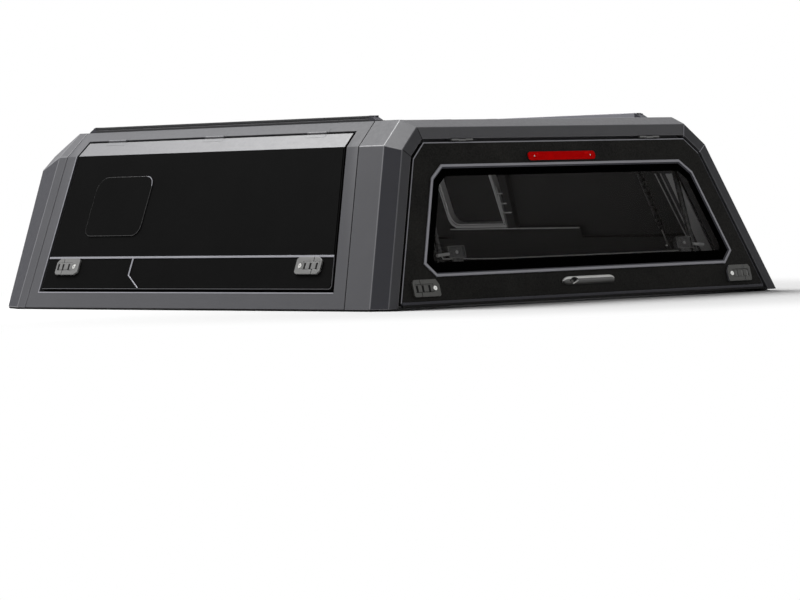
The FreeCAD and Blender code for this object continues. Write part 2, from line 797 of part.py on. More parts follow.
def lock_spans():
    """Outer and inner ends of the front and rear lock plates along the side face."""
    middle = size("lock_bottom") + size("lock_height") / 2
    front = door_front_edge - size("lock_front_inset")
    rear = door_rear_edge + rear_shear * middle + size("lock_rear_inset")
    length = size("lock_length")
    return {"front": (front, front - length), "rear": (rear, rear + length)}


def add_door_locks():
    low = size("lock_bottom")
    high = low + size("lock_height")
    relief = size("lock_relief")
    plates = []
    for name, (start, end) in lock_spans().items():
        plates.append(lock_plate(start, end, low, high, size("lock_skew"), relief))
        toward = 1 if end > start else -1
        shape = paddle(start, toward, low, high, relief)
        both_sides(f"door_{name}_paddle", keep(f"door_{name}_paddle", shape, side_plane))
    both_sides("lock_plates", keep("lock_plates", Part.makeCompound(plates), side_plane))


# Hinges: an axis just above the gap, knuckles on a pin, and a leaf on each side


def hinge_height():
    return size("knuckle_radius") + size("hinge_running_gap")


def hinge_shapes(middle, gap_line):
    """The fixed and the moving half of a hinge at this place along the gap's middle line."""
    radius = size("knuckle_radius")
    length = size("hinge_length")
    third = length / 3
    run = size("hinge_running_gap")
    leaf = size("hinge_leaf_thickness")
    reach = size("hinge_leaf_width")
    clear = radius + size("hinge_leaf_gap")
    start = middle - length / 2
    height = hinge_height()

    def knuckle(low, high, r):
        return Part.makeCylinder(r, high - low, vec(low, gap_line, height), vec(1, 0, 0))

    def leaf_part(low, high, near, far):
        box = Part.makeBox(high - low, abs(far - near), leaf)
        box.translate(vec(low, gap_line + min(near, far), 0))
        return box

    pin = knuckle(start, start + length, size("hinge_pin_radius"))
    fixed = leaf_part(start, start + length, clear, reach)
    for low in (start, start + length - third):
        fixed = fixed.multiFuse([leaf_part(low, low + third, 0, clear), knuckle(low, low + third, radius)])
    fixed = fixed.fuse(pin)
    moving = leaf_part(start, start + length, -clear, -reach)
    low = start + third + run
    high = start + length - third - run
    moving = moving.multiFuse([leaf_part(low, high, 0, -clear), knuckle(low, high, radius)])
    moving = moving.cut(knuckle(low, high, size("hinge_pin_radius") + size("pin_clearance")))
    return fixed.removeSplitter(), moving.removeSplitter()


def add_hinges():
    gap_line = header_start - size("door_gap") / 2
    front = door_front_edge - size("front_hinge_inset")
    rear = at_door_rear_edge(on_chamfer(0, gap_line)[1]) + size("rear_hinge_inset")
    halves = [hinge_shapes(middle, gap_line) for middle in (front, (front + rear) / 2, rear)]
    for name, part in (("header_hinges", 0), ("door_hinges", 1)):
        shape = Part.makeCompound([half[part] for half in halves])
        both_sides(name, keep(name, shape, chamfer_plane))
    offset = hatch_outline(0)[2][0] - size("hatch_hinge_inset")
    halves = [hinge_shapes(across, hatch_gap_line()) for across in (-offset, offset)]
    keep("beam_hinges", Part.makeCompound([h[0] for h in halves]), rear_plane)
    keep("hatch_hinges", Part.makeCompound([h[1] for h in halves]), rear_plane)


# Rear hatch


def up_rear(z):
    return z / math.cos(rear_lean)


def hatch_gap_line():
    return up_rear(size("roof_height") - rear_rim_inner - size("door_gap") / 2)


def hatch_outline(inset):
    """The hatch's outline in the rear plane, set in from its own edge."""
    offset = rear_rim_inner + size("door_gap") + inset
    bottom = size("hatch_bottom") + inset
    crease = corner(1, offset)
    top = corner(2, offset)
    foot = corner(0, offset)
    run = (foot[0] - crease[0]) / crease[1]
    foot_x = foot[0] - run * bottom * math.cos(rear_lean)
    right = [(foot_x, bottom), (crease[0], up_rear(crease[1])), (top[0], up_rear(top[1]))]
    return right + [(-x, up) for x, up in reversed(right)]


def window_outline(inset):
    """The window surround's outline in the rear plane, set in from its outer edge."""
    foot, crease, top = inset_loop(hatch_outline(0), size("window_side_margin"))[:3]
    lean = (foot[0] - crease[0]) / (crease[1] - foot[1])
    low = hatch_outline(0)[0][1] + size("window_foot_margin")
    high = hatch_outline(0)[2][1] - size("window_top_margin")
    rise = size("window_cut_height")

    def side(up):
        return foot[0] - lean * (up - foot[1])

    right = [
        (side(low) - size("window_foot_cut"), low), (side(low + rise), low + rise),
        (side(high - rise), high - rise), (side(high) - size("window_top_cut"), high)]
    return inset_loop(right + [(-x, up) for x, up in reversed(right)], inset)


def add_hatch():
    skin = size("door_skin")
    rim = size("door_rim")
    depth = size("hatch_frame_depth")
    lap = size("surround_width") / 2
    cut = slab(window_outline(lap), -2 * depth, depth)
    keep("hatch_panel", slab(hatch_outline(rim), -skin, 0).cut(cut), rear_plane)
    behind = slab(window_outline(lap - rim), -2 * depth, depth)
    keep("hatch_frame", slab(hatch_outline(0), -depth, -skin).cut(behind), rear_plane)
    pane = slab(window_outline(lap + size("pane_clearance")), -size("glass_thickness"), 0)
    keep("hatch_glass", pane, rear_plane)
    ring = slab(window_outline(0), 0, size("surround_relief"))
    ring = ring.cut(slab(window_outline(size("surround_width")), 0, size("surround_relief")))
    keep("window_surround", ring, rear_plane)
    top = ("(Sizes.roof_height - Sizes.rear_facet_depth * tan(Sizes.facet_angle) - Sizes.rear_rim_width"
           " - Sizes.door_gap) / cos(Sizes.rear_lean) - Sizes.brake_light_drop")
    bottom = top + " - Sizes.brake_light_height"
    half = "Sizes.brake_light_length / 2"
    drawn_body("brake_light", [("-" + half, bottom), (half, bottom), (half, top), ("-" + half, top)],
               "Sizes.brake_light_relief", rear_plane)
    bottom = "Sizes.hatch_bottom + Sizes.handle_rise"
    middle = bottom + " + Sizes.handle_lower_height"
    top = middle + " + Sizes.handle_upper_height"
    long = "Sizes.handle_half_length"
    short = "Sizes.handle_top_half_length"
    drawn_body("hatch_handle", [
        ("-" + short, bottom), (short, bottom), (long, middle),
        (short, top), ("-" + short, top), ("-" + long, middle)],
        "Sizes.handle_relief", rear_plane)


def hatch_lock_place():
    """Bottom of the hatch's lock plates up the rear face, and their outer end from the middle."""
    low = size("hatch_bottom") + size("hatch_lock_rise")
    foot, crease = hatch_outline(0)[:2]
    run = (foot[0] - crease[0]) / (crease[1] - foot[1])
    middle = low + size("hatch_lock_height") / 2
    return low, foot[0] - run * (middle - foot[1]) - size("hatch_lock_inset")


def add_hatch_locks():
    low, outer = hatch_lock_place()
    high = low + size("hatch_lock_height")
    relief = size("lock_relief")
    length = size("hatch_lock_length")
    plates = []
    for name, hand in (("left", -1), ("right", 1)):
        start = hand * outer
        end = hand * (outer - length)
        plates.append(lock_plate(start, end, low, high, 0, relief))
        keep(f"hatch_{name}_paddle", paddle(start, -hand, low, high, relief), rear_plane)
    keep("hatch_lock_plates", Part.makeCompound(plates), rear_plane)


# Gas struts. Each tube turns on a stud of the frame; its rod's eye lies beside a stud of the door


class Strut:
    """One strut's places in the flat it moves in, as (across, up) pairs, and its joints' values."""

    def __init__(self, hinge, stud, travel):
        self.hinge = hinge
        self.stud = stud
        reach = math.atan2(stud[1] - hinge[1], stud[0] - hinge[0])
        inward = reach - math.radians(size("strut_anchor_angle"))
        anchor = size("strut_anchor")
        self.anchor = (hinge[0] + anchor * math.cos(inward), hinge[1] + anchor * math.sin(inward))
        turn = math.radians(travel)
        arm = math.hypot(stud[0] - hinge[0], stud[1] - hinge[1])
        self.open_stud = (hinge[0] + arm * math.cos(reach + turn), hinge[1] + arm * math.sin(reach + turn))
        self.length = math.dist(self.anchor, self.stud)
        self.open_length = math.dist(self.anchor, self.open_stud)
        start = math.atan2(self.stud[1] - self.anchor[1], self.stud[0] - self.anchor[0])
        end = math.atan2(self.open_stud[1] - self.anchor[1], self.open_stud[0] - self.anchor[0])
        self.swing = end - start
        self.travel = turn


def strut_halves(anchor, stud, across, open_length):
    """Tube and rod between two points, their eyes square to the direction across."""
    along = (stud - anchor).normalize()
    width = size("eye_width")
    radius = size("eye_radius")
    length = (stud - anchor).Length - size("rod_stub")
    eye = Part.makeCylinder(radius, width, anchor - across * (width / 2), across)
    barrel = Part.makeCylinder(
        size("strut_radius"), length - radius / 2, anchor + along * (radius / 2), along)
    reach = width + 2 * size("strut_radius")
    hole = Part.makeCylinder(
        size("stud_radius") + size("stud_clearance"), reach, anchor - across * (reach / 2), across)
    bore = Part.makeCylinder(
        size("rod_radius") + size("pin_clearance"), length - 2 * radius, anchor + along * (2 * radius), along)
    tube = eye.fuse(barrel).cut(hole).cut(bore)
    rod_length = open_length - length + size("rod_engagement")
    rod_eye = Part.makeCylinder(radius, width, stud - across * (width / 2), across)
    rod = Part.makeCylinder(size("rod_radius"), rod_length, stud - along * rod_length, along)
    return tube, rod_eye.fuse(rod)


def frame_bracket(flat, anchor, across, toward):
    """Plate with a stud through the tube's eye. flat is the plate's outline beside the strut."""
    stand = size("strut_radius") + size("strut_clearance")
    side = across * toward
    plate = Part.Face(Part.makePolygon(flat + [flat[0]])).extrude(side * size("bracket_thickness"))
    plate.translate(side * stand)
    width = size("eye_width") / 2 + size("stud_overhang")
    stud = Part.makeCylinder(size("stud_radius"), stand + width, anchor - side * width, side)
    return plate.fuse(stud)


def door_bracket(flat, stud, across, toward):
    """Plate with a short stud that ends just beside the rod's eye."""
    near = size("eye_width") / 2 + size("stud_end_gap")
    far = near + size("stud_reach")
    side = across * toward
    plate = Part.Face(Part.makePolygon(flat + [flat[0]])).extrude(side * size("bracket_thickness"))
    plate.translate(side * far)
    pin = Part.makeCylinder(size("stud_radius"), far - near, stud + side * near, side)
    return plate.fuse(pin)


def side_strut():
    hinge = on_chamfer(-hinge_height(), header_start - size("door_gap") / 2)
    stud = on_side(size("door_frame_depth") + size("strut_stand_off"), size("stud_height"))
    return Strut(hinge, stud, size("door_travel"))


def on_rear(offset, up):
    """Like on_side for the rear face: rearward distance and height."""
    return (-up * math.sin(rear_lean) - offset * math.cos(rear_lean),
            up * math.cos(rear_lean) - offset * math.sin(rear_lean))


def hatch_strut():
    hinge = on_rear(-hinge_height(), hatch_gap_line())
    up = size("hatch_bottom") + size("hatch_stud_rise")
    stud = on_rear(size("hatch_frame_depth") + size("strut_stand_off"), up)
    return Strut(hinge, stud, size("hatch_travel"))


def side_strut_stations(strut):
    room = size("ledge_width") + size("strut_room")
    return ((door_front - room, 1), (rear_station(door_rear, strut.anchor[1]) + room, -1))


def add_side_struts():
    strut = side_strut()
    across = vec(0, 1, 0)
    half = size("bracket_width") / 2
    lean = chamfer_lean()
    x, z = strut.anchor
    up = -(x - outline[1][0]) * math.sin(lean) + (z - outline[1][1]) * math.cos(lean)
    depth = -(x - outline[1][0]) * math.cos(lean) - (z - outline[1][1]) * math.sin(lean)
    far = depth + size("eye_radius")
    header_flat = [on_chamfer(ledge_back, up - half), on_chamfer(far, up - half),
                   on_chamfer(far, up + half), on_chamfer(ledge_back, up + half)]
    back = size("door_frame_depth")
    end = back + size("strut_stand_off") + size("eye_radius")
    middle = size("stud_height")
    door_flat = [on_side(back, middle - half), on_side(end, middle - half),
                 on_side(end, middle + half), on_side(back, middle + half)]
    tubes, rods, fixed, moving = [], [], [], []
    for station, toward in side_strut_stations(strut):
        anchor = point(*strut.anchor, station)
        stud = point(*strut.stud, station)
        tube, rod = strut_halves(anchor, stud, across, strut.open_length)
        tubes.append(tube)
        rods.append(rod)
        fixed.append(frame_bracket([point(*p, station) for p in header_flat], anchor, across, toward))
        moving.append(door_bracket([point(*p, station) for p in door_flat], stud, across, toward))
    for name, shapes in (("strut_tubes", tubes), ("strut_rods", rods),
                         ("header_brackets", fixed), ("door_brackets", moving)):
        both_sides(name, keep(name, Part.makeCompound(shapes)))


def add_hatch_struts():
    strut = hatch_strut()
    across = vec(1, 0, 0)
    half = size("bracket_width") / 2

    def place(pair, x):
        return point(x, pair[1], -pair[0])

    high = size("roof_height") - size("frame_depth")
    low = strut.anchor[1] - size("eye_radius")
    mid = strut.anchor[0]
    shift = rear_slope * (high - low)
    beam_flat = [(mid - half, low), (mid + half, low), (mid + half - shift, high), (mid - half - shift, high)]
    back = size("hatch_frame_depth")
    end = back + size("strut_stand_off") + size("eye_radius")
    middle = size("hatch_bottom") + size("hatch_stud_rise")
    hatch_flat = [on_rear(back, middle - half), on_rear(end, middle - half),
                  on_rear(end, middle + half), on_rear(back, middle + half)]
    tubes, rods, fixed, moving = [], [], [], []
    offset = hatch_outline(0)[1][0] - size("hatch_strut_inset")
    for hand in (-1, 1):
        x = hand * offset
        anchor = place(strut.anchor, x)
        stud = place(strut.stud, x)
        tube, rod = strut_halves(anchor, stud, across, strut.open_length)
        tubes.append(tube)
        rods.append(rod)
        fixed.append(frame_bracket([place(p, x) for p in beam_flat], anchor, across, -hand))
        moving.append(door_bracket([place(p, x) for p in hatch_flat], stud, across, hand))
    keep("hatch_strut_tubes", Part.makeCompound(tubes))
    keep("hatch_strut_rods", Part.makeCompound(rods))
    keep("beam_brackets", Part.makeCompound(fixed))
    keep("hatch_brackets", Part.makeCompound(moving))


def check():
    """Stop if any object failed, or if a sub-part has no sound shape."""
    doc.recompute()
    for item in doc.Objects:
        if "Invalid" in item.State or "Error" in item.State:
            raise RuntimeError(f"{item.Name} failed: {item.State}")
    for name, feature in pieces.items():
        shape = feature.Shape
        if shape.isNull() or not shape.isValid() or not shape.Solids:
            raise RuntimeError(f"{name} has no sound shape")


def main():
    add_posts_and_beams()
    add_side_frames()
    add_rail_seal()
    add_front_wall()
    add_roof()
    add_roof_rails()
    add_door_frame()
    add_door_panel()
    add_door_trim()
    add_cover_plate()
    add_door_locks()
    add_hinges()
    add_hatch()
    add_hatch_locks()
    add_side_struts()
    add_hatch_struts()
    check()
    os.makedirs("parts", exist_ok=True)
    for name, feature in pieces.items():
        feature.Shape.exportStep(os.path.join("parts", name + ".step"))
        box = feature.Shape.BoundBox
        extent = f"{box.XLength:.0f} x {box.YLength:.0f} x {box.ZLength:.0f}"
        print(f"{name}: {len(feature.Shape.Solids)} solids, {extent}")
    print(f"{len(pieces)} files, overall length {overall_length:.1f}")


main()
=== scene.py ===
"""Builds the visible pieces of a pickup truck canopy around its CAD frame.

Everything is in metres in the frame's own axes: X to the right, Y forward and Z up.
"""
import math
from collections import namedtuple

import bmesh
import bpy
from bpy.props import FloatProperty, FloatVectorProperty, IntProperty, PointerProperty
from mathutils import Matrix, Vector
from mathutils.geometry import convex_hull_2d


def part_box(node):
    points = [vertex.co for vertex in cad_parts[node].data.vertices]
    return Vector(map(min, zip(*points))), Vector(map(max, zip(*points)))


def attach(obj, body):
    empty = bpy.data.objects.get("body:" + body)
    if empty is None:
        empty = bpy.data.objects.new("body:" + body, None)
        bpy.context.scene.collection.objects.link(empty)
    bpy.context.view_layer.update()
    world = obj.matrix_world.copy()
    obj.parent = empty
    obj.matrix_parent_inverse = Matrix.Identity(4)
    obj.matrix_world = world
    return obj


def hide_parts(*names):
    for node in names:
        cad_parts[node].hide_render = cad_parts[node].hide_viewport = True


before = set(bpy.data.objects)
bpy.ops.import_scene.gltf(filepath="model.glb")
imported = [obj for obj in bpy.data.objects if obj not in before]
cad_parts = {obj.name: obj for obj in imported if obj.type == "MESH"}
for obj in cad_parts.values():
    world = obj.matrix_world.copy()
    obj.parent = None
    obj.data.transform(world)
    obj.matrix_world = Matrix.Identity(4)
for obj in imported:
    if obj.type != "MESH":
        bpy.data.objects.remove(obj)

bl_info = {
    "name": "Pickup Truck Canopy",
    "version": (1, 0, 0),
    "blender": (4, 5, 0),
    "location": "View3D > Sidebar > Canopy",
    "description": "Dresses the CAD frame of a pickup truck canopy",
    "category": "Object",
}

# Places that the frame gives

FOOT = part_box("right_side_frame")[0].z
HALF_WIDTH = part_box("right_side_frame")[1].x
FRONT_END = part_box("front_top_beam")[1].y
ROOF_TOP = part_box("front_top_beam")[1].z

# Places and slopes that it doesn't give: the crease between side and chamfer, the roof's edge, and the leans

CREASE_X = HALF_WIDTH - 0.1895
CREASE_Z = FOOT + 0.475
ROOF_EDGE_X = 0.5865
SIDE_LEAN = math.atan2(0.1895, 0.475)
CHAMFER_LEAN = math.atan2(0.086, 0.075)
REAR_LEAN = math.radians(14.8)
FRONT_LEAN = math.radians(6.6)
REAR_SLOPE = math.tan(REAR_LEAN)
SIDE_SHEAR = REAR_SLOPE * math.cos(SIDE_LEAN)
FRONT_FOOT = 0.88425

# A door's opening, along its side's plane from the rear end and up from the foot, and the ledges that doors close on

DOOR_REAR = 0.2166
DOOR_FRONT = 1.6218
SILL_TOP = 0.053
HEADER_FOOT = 0.0711
LEDGE_DEPTH = 0.032
LEDGE_MIDDLE = 0.013
HATCH_LEDGE_DEPTH = 0.036
HINGE_LENGTH = 0.086
SHARP = math.radians(32)


class Flat:
    """A plane that pieces are drawn on: x along it, y up its slope and z out of it."""

    def __init__(self, origin, along, up, hand=1):
        self.origin = Vector(origin)
        self.along = Vector(along).normalized()
        self.up = Vector(up).normalized()
        self.out = self.along.cross(self.up) * hand

    def __call__(self, x, y, z=0.0):
        return self.origin + self.along * x + self.up * y + self.out * z

    def place(self, point):
        """A point of the frame in this plane's own axes."""
        away = Vector(point) - self.origin
        return Vector((away.dot(self.along), away.dot(self.up), away.dot(self.out)))


def leaning(hand, x, z, lean):
    """The plane of a side or a chamfer."""
    return Flat((hand * x, -FRONT_END, z), (0, 1, 0), (-hand * math.sin(lean), 0, math.cos(lean)), hand)


# name, hand, plane of the side, plane of the chamfer above it
SIDES = [(name, hand, leaning(hand, HALF_WIDTH, FOOT, SIDE_LEAN), leaning(hand, CREASE_X, CREASE_Z, CHAMFER_LEAN))
         for name, hand in (("right", 1), ("left", -1))]
REAR = Flat((0, -FRONT_END, FOOT), (1, 0, 0), (0, math.sin(REAR_LEAN), math.cos(REAR_LEAN)))
FRONT = Flat((0, FRONT_FOOT, FOOT), (-1, 0, 0), (0, math.sin(FRONT_LEAN), math.cos(FRONT_LEAN)))
ROOF = Flat((0, 0, ROOF_TOP), (0, 1, 0), (-1, 0, 0))


def colour(name, words, default):
    return FloatVectorProperty(name=name, description=words, default=default, min=0.0, max=1.0, subtype="COLOR")


def length(name, words, default):
    return FloatProperty(
        name=name, description=words, default=default, min=0.0, precision=4, subtype="DISTANCE", unit="LENGTH")


def angle(name, words, degrees):
    return FloatProperty(
        name=name, description=words, default=math.radians(degrees), subtype="ANGLE", unit="ROTATION")


class CanopyFinishes(bpy.types.PropertyGroup):
    """Colours of the finishes, as linear values"""
    frame_paint: colour("Frame Paint", "Powder coat of posts, beams and side frames", (0.081, 0.081, 0.087))
    panel_paint: colour("Panel Paint", "Powder coat of the side doors' skins", (0.0038, 0.0038, 0.0038))
    hatch_paint: colour("Hatch Paint", "Coarse coat of the rear hatch", (0.0100, 0.0096, 0.0086))
    # A shade lighter than the frame paint: partly its own satin coat, partly painted sheen
    strip_paint: colour("Strip Paint", "Satin coat of the side doors' bent strips", (0.088, 0.088, 0.094))
    # Painted shade: the posts' facets that look forward or back are coloured darker
    post_paint: colour("Post Paint", "Facets of the posts that look forward or back", (0.044, 0.044, 0.050))
    rail_paint: colour("Rail Paint", "Roof rails", (0.030, 0.030, 0.032))
    # Also painted shade: the surround's inner bevel and a strip inside the hatch's rim
    flange_paint: colour("Flange Paint", "The hatch's foot, rail caps and inner bevels", (0.040, 0.040, 0.050))
    # Also painted highlights: the sill lip, the right weld beads, a glint on each cover plate and faces of the right
    # hatch lock
    light_trim: colour("Light Trim", "Belt strips, bright edges and the window surround", (0.245, 0.245, 0.270))
    lock_metal: colour("Lock Metal", "Cast lock plates of the side doors", (0.150, 0.150, 0.147))
    # Painted highlight on the handle's upward faces and on the key recess's rim
    handle_crown: colour("Handle Crown", "Worn upper edge of the hatch's handle", (0.72, 0.72, 0.70))
    dark_metal: colour("Dark Metal", "Lock plates of the hatch, brackets and lock cases", (0.065, 0.065, 0.060))
    hinge_steel: colour("Hinge Steel", "Paddle pins and rail bolts", (0.26, 0.26, 0.255))
    strut_paint: colour("Strut Paint", "Tubes of the gas struts and latch cases", (0.020, 0.020, 0.021))
    rod_chrome: colour("Rod Chrome", "Rods, pins and key barrels", (0.62, 0.62, 0.60))
    rubber: colour("Rubber", "Seals", (0.010, 0.010, 0.010))
    frit: colour("Frit", "Printed border of the rear window", (0.0012, 0.0012, 0.0012))
    lining: colour("Lining", "Inner faces of the side doors", (0.030, 0.030, 0.031))
    # Partly the pale colour of the inner bands, partly painted light: made near white so that the dim inner parts read
    # as lit
    jamb_lining: colour("Jamb Lining", "Bands inside the rear jambs, edges inside the doors", (0.80, 0.80, 0.80))
    glass_tint: colour("Glass Tint", "Rear window", (0.040, 0.037, 0.034))
    lens_red: colour("Lens Red", "Brake light", (0.76, 0.0, 0.0))


class CanopySizes(bpy.types.PropertyGroup):
    """Sizes of the details that the CAD frame doesn't hold"""
    fold_radius: length("Fold Radius", "Rounding of the frame's folded edges", 0.0022)
    seam_gap: length("Seam Gap", "Open joint between posts and side frames", 0.0026)
    seal_radius: length("Seal Radius", "Bulb seals on the ledges", 0.0036)
    plate_radius: length("Plate Radius", "Rounding of the lock plates", 0.0016)
    bolt_radius: length("Bolt Radius", "Button heads on the front wall", 0.0065)
    screw_radius: length("Screw Radius", "Small heads of the brake light", 0.0023)
    frit_width: length("Frit Width", "Black border of the rear window", 0.029)
    pocket_line: length("Pocket Line", "Fine line round a door's lower pocket", 0.0013)
    cover_radius: length("Cover Radius", "Largest corner of the cover plates", 0.050)
    bolt_pitch: length("Bolt Pitch", "Between the rivets along the roof's edges", 0.150)
    bead_count: IntProperty(name="Bead Count", description="Raised beads across the roof", default=5, min=1)


class CanopyStage(bpy.types.PropertyGroup):
    """Camera, lamps and floor"""
    lens: FloatProperty(
        name="Lens", description="Focal length on a 36 mm sensor", default=180.40, unit="CAMERA")
    azimuth: angle("Azimuth", "Camera, round the canopy from behind", -43.0478)
    elevation: angle("Elevation", "Camera, above the horizon", 1.6383)
    roll: angle("Roll", "Camera, about its own axis", -1.4746)
    camera_place: FloatVectorProperty(
        name="Camera Place", description="Where the camera stands",
        default=(-8.68240, -9.38733, 0.36212), subtype="TRANSLATION", unit="LENGTH")
    key_power: FloatProperty(name="Key Power", description="Soft box overhead", default=620, unit="POWER")
    inner_power: FloatProperty(
        name="Inner Power", description="Soft box under the canopy", default=2.2, unit="POWER")
    room_light: FloatProperty(name="Room Light", description="Strength of the white room", default=0.22)
    floor_tone: colour("Floor", "Floor under the canopy", (0.62, 0.62, 0.62))


# Shader nodes


class Graph:
    """Adds nodes to a tree; an input that is given a socket is joined to it."""

    def __init__(self, tree):
        self.tree = tree

    def add(self, kind, inputs=None, **settings):
        node = self.tree.nodes.new(kind)
        for key, value in settings.items():
            setattr(node, key, value)
        for key, value in (inputs or {}).items():
            if isinstance(value, bpy.types.NodeSocket):
                self.tree.links.new(value, node.inputs[key])
            else:
                node.inputs[key].default_value = value
        return node


def noise(graph, place, scale, detail=2.0):
    return graph.add("ShaderNodeTexNoise", {
        "Vector": place, "Scale": scale, "Detail": detail, "Roughness": 0.55}).outputs["Fac"]


def between(graph, factor, low, high):
    """Maps the middle of a noise to a range."""
    return graph.add("ShaderNodeMapRange", {
        "Value": factor, "From Min": 0.3, "From Max": 0.7, "To Min": low, "To Max": high}).outputs["Result"]


def tones(graph, factor, tone, spread):
    """A colour that varies round a tone."""
    node = graph.add("ShaderNodeValToRGB", {"Fac": factor})
    for element, place, share in zip(node.color_ramp.elements, (0.30, 0.70), (1 - spread, 1 + spread)):
        element.color = (*[min(1.0, c * share) for c in tone], 1)
        element.position = place
    return node.outputs["Color"]


# finish: colour, metallic, specular level, roughness low and high, grain per metre, grain height, colour spread
COATS = {
    "frame_paint": ("frame_paint", 0.0, 0.08, 0.46, 0.54, 900, 0.00010, 0.05),
    # painted shade on the posts' turned facets
    "post_paint": ("post_paint", 0.0, 0.03, 0.46, 0.54, 900, 0.00010, 0.05),
    "frame_sheen": ("frame_paint", 0.0, 0.28, 0.46, 0.54, 900, 0.00010, 0.05),
    # painted highlight on the frame's folded edges and the side hinges' knuckles
    "frame_edge": ("frame_edge", 0.0, 0.30, 0.38, 0.46, 900, 0.00006, 0.08),
    # partly painted sheen
    "strip_paint": ("strip_paint", 0.0, 0.26, 0.38, 0.46, 900, 0.00006, 0.06),
    "rail_paint": ("rail_paint", 0.0, 0.20, 0.44, 0.54, 900, 0.00008, 0.06),
    "lining": ("lining", 0.0, 0.10, 0.50, 0.60, 500, 0.00008, 0.20),
    # partly painted light on the inner parts
    "jamb_lining": ("jamb_lining", 0.0, 0.10, 0.50, 0.60, 500, 0.00008, 0.06),
    # also painted shade on inner bevels
    "flange_paint": ("flange_paint", 0.0, 0.20, 0.40, 0.50, 900, 0.00006, 0.08),
    "panel_paint": ("panel_paint", 0.0, 0.012, 0.54, 0.62, 620, 0.00016, 0.16),
    # painted highlight on the cover plates' edges
    "panel_edge": ("panel_edge", 0.0, 0.50, 0.22, 0.34, 620, 0.00006, 0.30),
    "hatch_paint": ("hatch_paint", 0.0, 0.07, 0.54, 0.66, 210, 0.00060, 0.95),
    # real light trim, and painted highlights on some edges
    "light_trim": ("light_trim", 0.35, 0.50, 0.30, 0.44, 700, 0.00005, 0.08),
    "lock_metal": ("lock_metal", 0.25, 0.50, 0.34, 0.50, 800, 0.00008, 0.10),
    # painted highlight on the handle
    "handle_crown": ("handle_crown", 0.25, 0.50, 0.30, 0.42, 800, 0.00004, 0.08),
    "dark_metal": ("dark_metal", 0.25, 0.50, 0.34, 0.50, 800, 0.00008, 0.14),
    "hinge_steel": ("hinge_steel", 0.60, 0.50, 0.32, 0.46, 1200, 0.00004, 0.12),
    "strut_paint": ("strut_paint", 0.0, 0.50, 0.22, 0.34, 500, 0.00003, 0.12),
    "rod_chrome": ("rod_chrome", 1.0, 0.50, 0.10, 0.20, 1500, 0.00001, 0.04),
    "rubber": ("rubber", 0.0, 0.12, 0.62, 0.80, 1100, 0.00008, 0.20),
    "frit": ("frit", 0.0, 0.0, 0.30, 0.40, 400, 0.0, 0.05),
}


# edges painted lighter than the paint beside them: painted highlights
EDGE_HIGHLIGHTS = {"frame_edge": ("frame_paint", 1.45), "panel_edge": ("panel_paint", 9.0)}


def shade_of(name):
    base, highlight_gain = EDGE_HIGHLIGHTS.get(name, (name, 1.0))
    return [c * highlight_gain for c in getattr(bpy.context.scene.canopy_finishes, base)]


def finish(name):
    """The procedural material of this name, made when it is first asked for."""
    made = name + "_finish"
    if made in bpy.data.materials:
        return bpy.data.materials[made]
    material = bpy.data.materials.new(made)
    material.use_nodes = True
    graph = Graph(material.node_tree)
    shader = material.node_tree.nodes["Principled BSDF"]
    place = graph.add("ShaderNodeTexCoord").outputs["Object"]
    if name in COATS:
        coat(graph, shader, place, *COATS[name])
    elif name.endswith("_glass"):
        glass(graph, shader, place, 0.22 if name == "tinted_glass" else 0.12)
    else:
        lens(graph, shader, place, name == "red_block")
    return material


def coat(graph, shader, place, tone, metallic, specular, smooth, rough, grain, height, spread):
    """Powder coat, cast metal or rubber: cloudy tone, uneven gloss and a fine grain."""
    join = graph.tree.links.new
    fine = noise(graph, place, grain, 1.5)
    mixed = graph.add("ShaderNodeMath", {0: noise(graph, place, 7.0, 3.0), 1: fine}, operation="ADD")
    half = graph.add("ShaderNodeMath", {0: mixed.outputs[0], 1: 0.5}, operation="MULTIPLY")
    join(tones(graph, half.outputs[0], shade_of(tone), spread), shader.inputs["Base Color"])
    join(between(graph, noise(graph, place, 90.0), smooth, rough), shader.inputs["Roughness"])
    shader.inputs["Metallic"].default_value = metallic
    shader.inputs["Specular IOR Level"].default_value = specular
    if height:
        bump = graph.add("ShaderNodeBump", {"Height": fine, "Strength": 1.0, "Distance": height})
        join(bump.outputs["Normal"], shader.inputs["Normal"])


def glass(graph, shader, place, alpha):
    """A pane with a faint film of dust that changes its gloss."""
    shader.inputs["Base Color"].default_value = (*shade_of("glass_tint"), 1)
    shader.inputs["Alpha"].default_value = alpha
    shader.inputs["Specular IOR Level"].default_value = 0.02
    graph.tree.links.new(between(graph, noise(graph, place, 9.0), 0.03, 0.07), shader.inputs["Roughness"])


def lens(graph, shader, place, bright):
    """Clear red plastic, painted brighter for the raised patches near its ends: painted highlights."""
    red = shade_of("lens_red")
    if bright:
        red = [min(1.0, c * 1.5) + 0.004 for c in red]
    join = graph.tree.links.new
    join(tones(graph, noise(graph, place, 40.0), red, 0.06), shader.inputs["Base Color"])
    join(between(graph, noise(graph, place, 120.0), 0.14, 0.24), shader.inputs["Roughness"])
    shader.inputs["Specular IOR Level"].default_value = 0.02


# Mesh code


def oblong(left, foot, right, top):
    """A rectangle's corners, anticlockwise."""
    return [(left, foot), (right, foot), (right, top), (left, top)]


def anticlockwise(loop):
    area = sum(a.x * b.y - b.x * a.y for a, b in zip(loop, loop[1:] + loop[:1]))
    return loop if area > 0 else loop[::-1]


